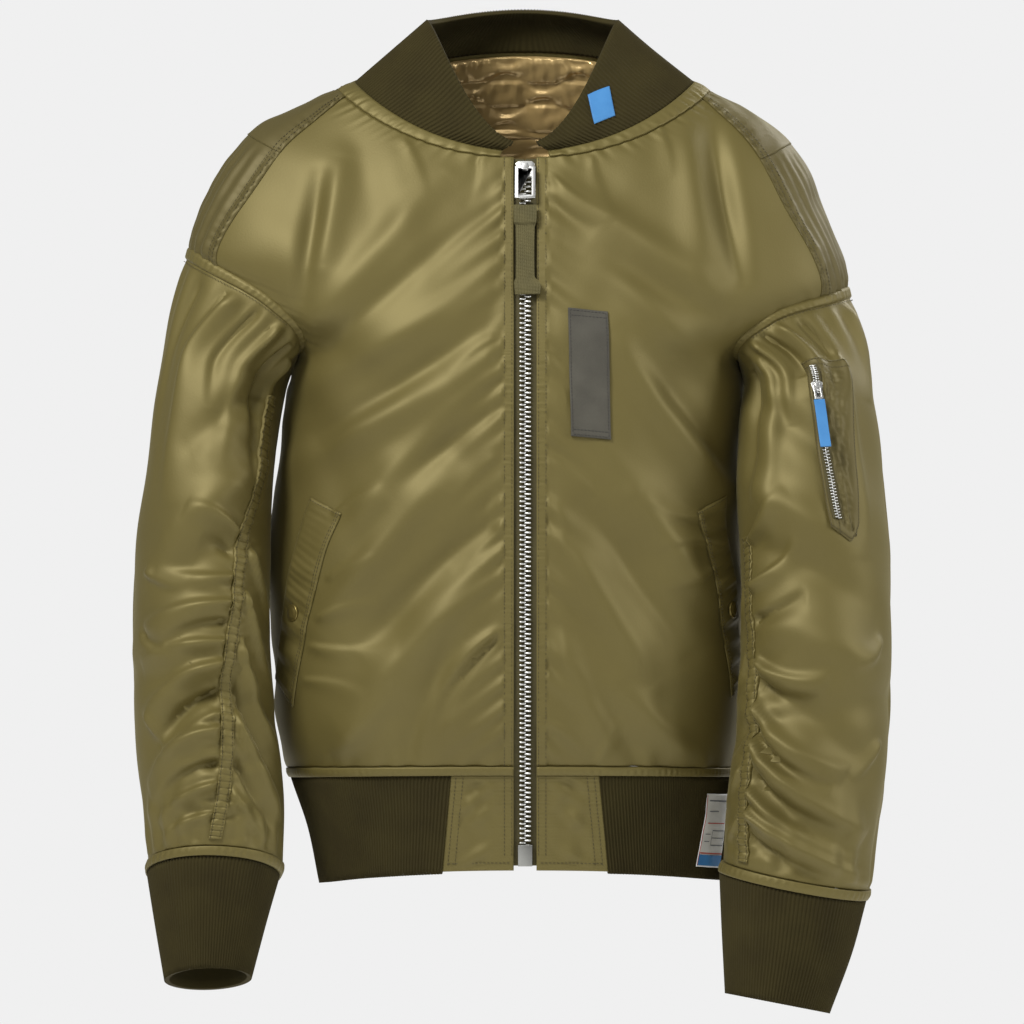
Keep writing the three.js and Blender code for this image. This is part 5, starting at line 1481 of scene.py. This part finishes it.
def lining_piece(name, low_level, high_level, depth, columns, rows):
    first, last = 5 / 22, 17 / 22

    def point(a, b, out):
        level = mix(low_level, high_level, b)
        edge = 90 + panel_edge(level)
        angle = mix(edge, FULL_TURN - edge, mix(first, last, a))
        base = body_base(signed_angle(angle), level)
        relief = quilting(base[..., 0], base[..., 2])
        edges = smooth(0, 0.05, b) * smooth(1, 0.95, b)
        face = (relief * (0.25 + 0.75 * edges)) * (out > -0.1)
        return body_point(signed_angle(angle), level, -SHELL - depth - 2.0 - out - face)

    obj = wall(f"{name}_quilted", point, shares(columns), shares(rows), 2.0)
    finish_piece(obj, LINING, "jacket", "lining", name)


def seam_stitches():
    """Rows of stitching on the fronts, the armholes, the hem panels and the bindings."""
    rows = []
    for side in (LEFT, RIGHT):
        levels = np.linspace(HEM_FOOT + 0.03, NECK_TOP - 0.004, 700)
        for x in (ZIP_EDGE + 1.6, PLACKET_EDGE):
            angle = angle_beside_zip(side * x, levels)
            rows.append(np.where(
                (levels > HEM_TOP)[:, None],
                body_point(angle, levels, 0.1), plain_body_point(angle, levels, 0.35),
            ))
        levels = np.linspace(float(armhole_top_level(SADDLE_ARM_HALF)) + 0.01, NECK_TOP - 0.006, 240)
        for inset in (1.4, 3.4):
            for way in (-1, 1):
                angle = side * (90 + way * (panel_edge(levels) - inset))
                rows.append(body_point(angle, levels, np.full(240, 1.6)))
        turn = np.linspace(70, 290, 500) - 180
        for along in (0.0085, 0.0165):
            rows.append(sleeve_point(side, turn, np.full(500, along), 1.5))
        foot = HEM_FOOT + 0.014
        down = np.linspace(foot, -0.012, 120)
        for inset in (4.0, 10.0):
            beside = side * (hem_panel_edge(down) - inset)
            rows.append(plain_body_point(angle_beside_zip(beside, down), down, 0.35))
        across = np.linspace(ZIP_EDGE + 3, hem_panel_edge(foot) - 4, 80)
        level = np.full(80, foot + 0.004)
        rows.append(plain_body_point(angle_beside_zip(side * across, level), level, 0.35))
    stitched("seam_stitches", rows, THREAD, "satin")


CAMERA_DISTANCE = 11.0
CAMERA_X = -0.0109
CAMERA_Z = -0.346
FRAME_WIDTH = 0.860
SENSOR = 36.0
SURROUND_LIGHT = 0.19
SURROUND_SEEN = 0.871
FLOOR_Z = -1500.0
FLOOR_REACH = 15000
FLOOR_GLOW = 0.42


def aim(obj, target):
    direction = Vector(target) - obj.location
    obj.rotation_euler = direction.to_track_quat("-Z", "Y").to_euler()


def camera():
    data = bpy.data.cameras.new("camera")
    data.sensor_width = SENSOR
    data.lens = SENSOR * CAMERA_DISTANCE / FRAME_WIDTH
    data.clip_end = 60
    obj = linked("camera", data)
    obj.location = (CAMERA_X, -CAMERA_DISTANCE, CAMERA_Z)
    aim(obj, (CAMERA_X, 0, CAMERA_Z))
    bpy.context.scene.camera = obj


def softbox(name, place, size, power, target=(0, 0, -0.3)):
    data = bpy.data.lights.new(name, "AREA")
    data.shape = "RECTANGLE"
    data.size, data.size_y = size
    data.energy = power
    obj = linked(name, data)
    obj.location = place
    aim(obj, target)


def lights():
    softbox("key_light", (-1.5, -1.8, 1.9), (0.9, 1.1), 92)
    softbox("fill_light", (2.3, -0.7, 0.5), (0.7, 1.5), 26)
    softbox("front_light", (-0.2, -3.4, 1.5), (1.2, 0.8), 17)
    softbox("rim_light", (1.9, 1.9, 1.5), (1.0, 1.2), 44)


def backdrop():
    """A pale surround that lights the jacket less than it shows."""
    world = bpy.data.worlds.new("studio")
    bpy.context.scene.world = world
    world.use_nodes = True
    tree = world.node_tree
    background = tree.nodes["Background"]
    background.inputs["Color"].default_value = (1.0, 1.0, 1.0, 1.0)
    seen = tree.nodes.new("ShaderNodeMapRange")
    seen.inputs["To Min"].default_value = SURROUND_LIGHT
    seen.inputs["To Max"].default_value = SURROUND_SEEN
    path = tree.nodes.new("ShaderNodeLightPath")
    tree.links.new(path.outputs["Is Camera Ray"], seen.inputs["Value"])
    tree.links.new(seen.outputs["Result"], background.inputs["Strength"])
    bpy.context.scene.view_settings.view_transform = "Standard"


def studio_floor():
    """A wide pale floor below the jacket."""
    reach = np.linspace(-FLOOR_REACH, FLOOR_REACH, 5)
    x, y = np.meshgrid(reach, reach)
    grid = stack(x, y, np.full(x.shape, FLOOR_Z))
    index = np.arange(x.size).reshape(x.shape)
    obj = mesh_object("studio_floor", grid.reshape(-1, 3), [faces_of(index, False)])
    dark, light = (226, 226, 226), (230, 230, 230)
    paper = surface("studio_paper", dark, light, roughness=0.9, patch=1, grain=200, depth=0.00005)
    glow = paper.node_tree.nodes["Principled BSDF"].inputs
    glow["Emission Color"].default_value = colour(236, 236, 236)
    glow["Emission Strength"].default_value = FLOOR_GLOW
    obj.data.materials.append(paper)
    obj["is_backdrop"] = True


def build():
    for side in (LEFT, RIGHT):
        front_panel(side)
        saddle(side, True)
        saddle(side, False)
        sleeve(side)
        armhole_seam(side)
        cuff(side)
        cuff_binding(side)
        hem_front(side)
        zip_tape(side)
        pocket_welt(side)
        pocket_snap(side)
        gather_strip(side)
    back_panel()
    collar()
    neck_binding()
    hem_rib()
    hem_binding()
    main_teeth()
    bevelled("zip_box", 0.5, BOX_METAL, "jacket", "zip_metal")
    bevelled("zip_slider", 0.45, SILVER, "jacket", "zip_metal")
    bevelled("zip_pull", 0.5, SILVER, "main_pull", "zip_metal")
    pull_strap()
    chest_patch()
    sleeve_pocket()
    sleeve_zip()
    bevelled("sleeve_zip_slider", 0.3, SILVER, "jacket", "zip_metal")
    bevelled("sleeve_zip_pull", 0.3, SILVER, "sleeve_pull", "zip_metal")
    sleeve_tag()
    collar_label()
    hem_label()
    lining_piece("lining_yoke", 0.87, 0.999, 3.2, 120, 48)
    lining_piece("lining_back", 0.7, 0.8988, 0.7, 120, 64)
    seam_stitches()


def write_sizes():
    boxes = {"cad": CAD_BOX, "visual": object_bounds()}
    plain = {name: [[float(v) for v in corner] for corner in box] for name, box in boxes.items()}


camera()
lights()
backdrop()
studio_floor()
build()
write_sizes()
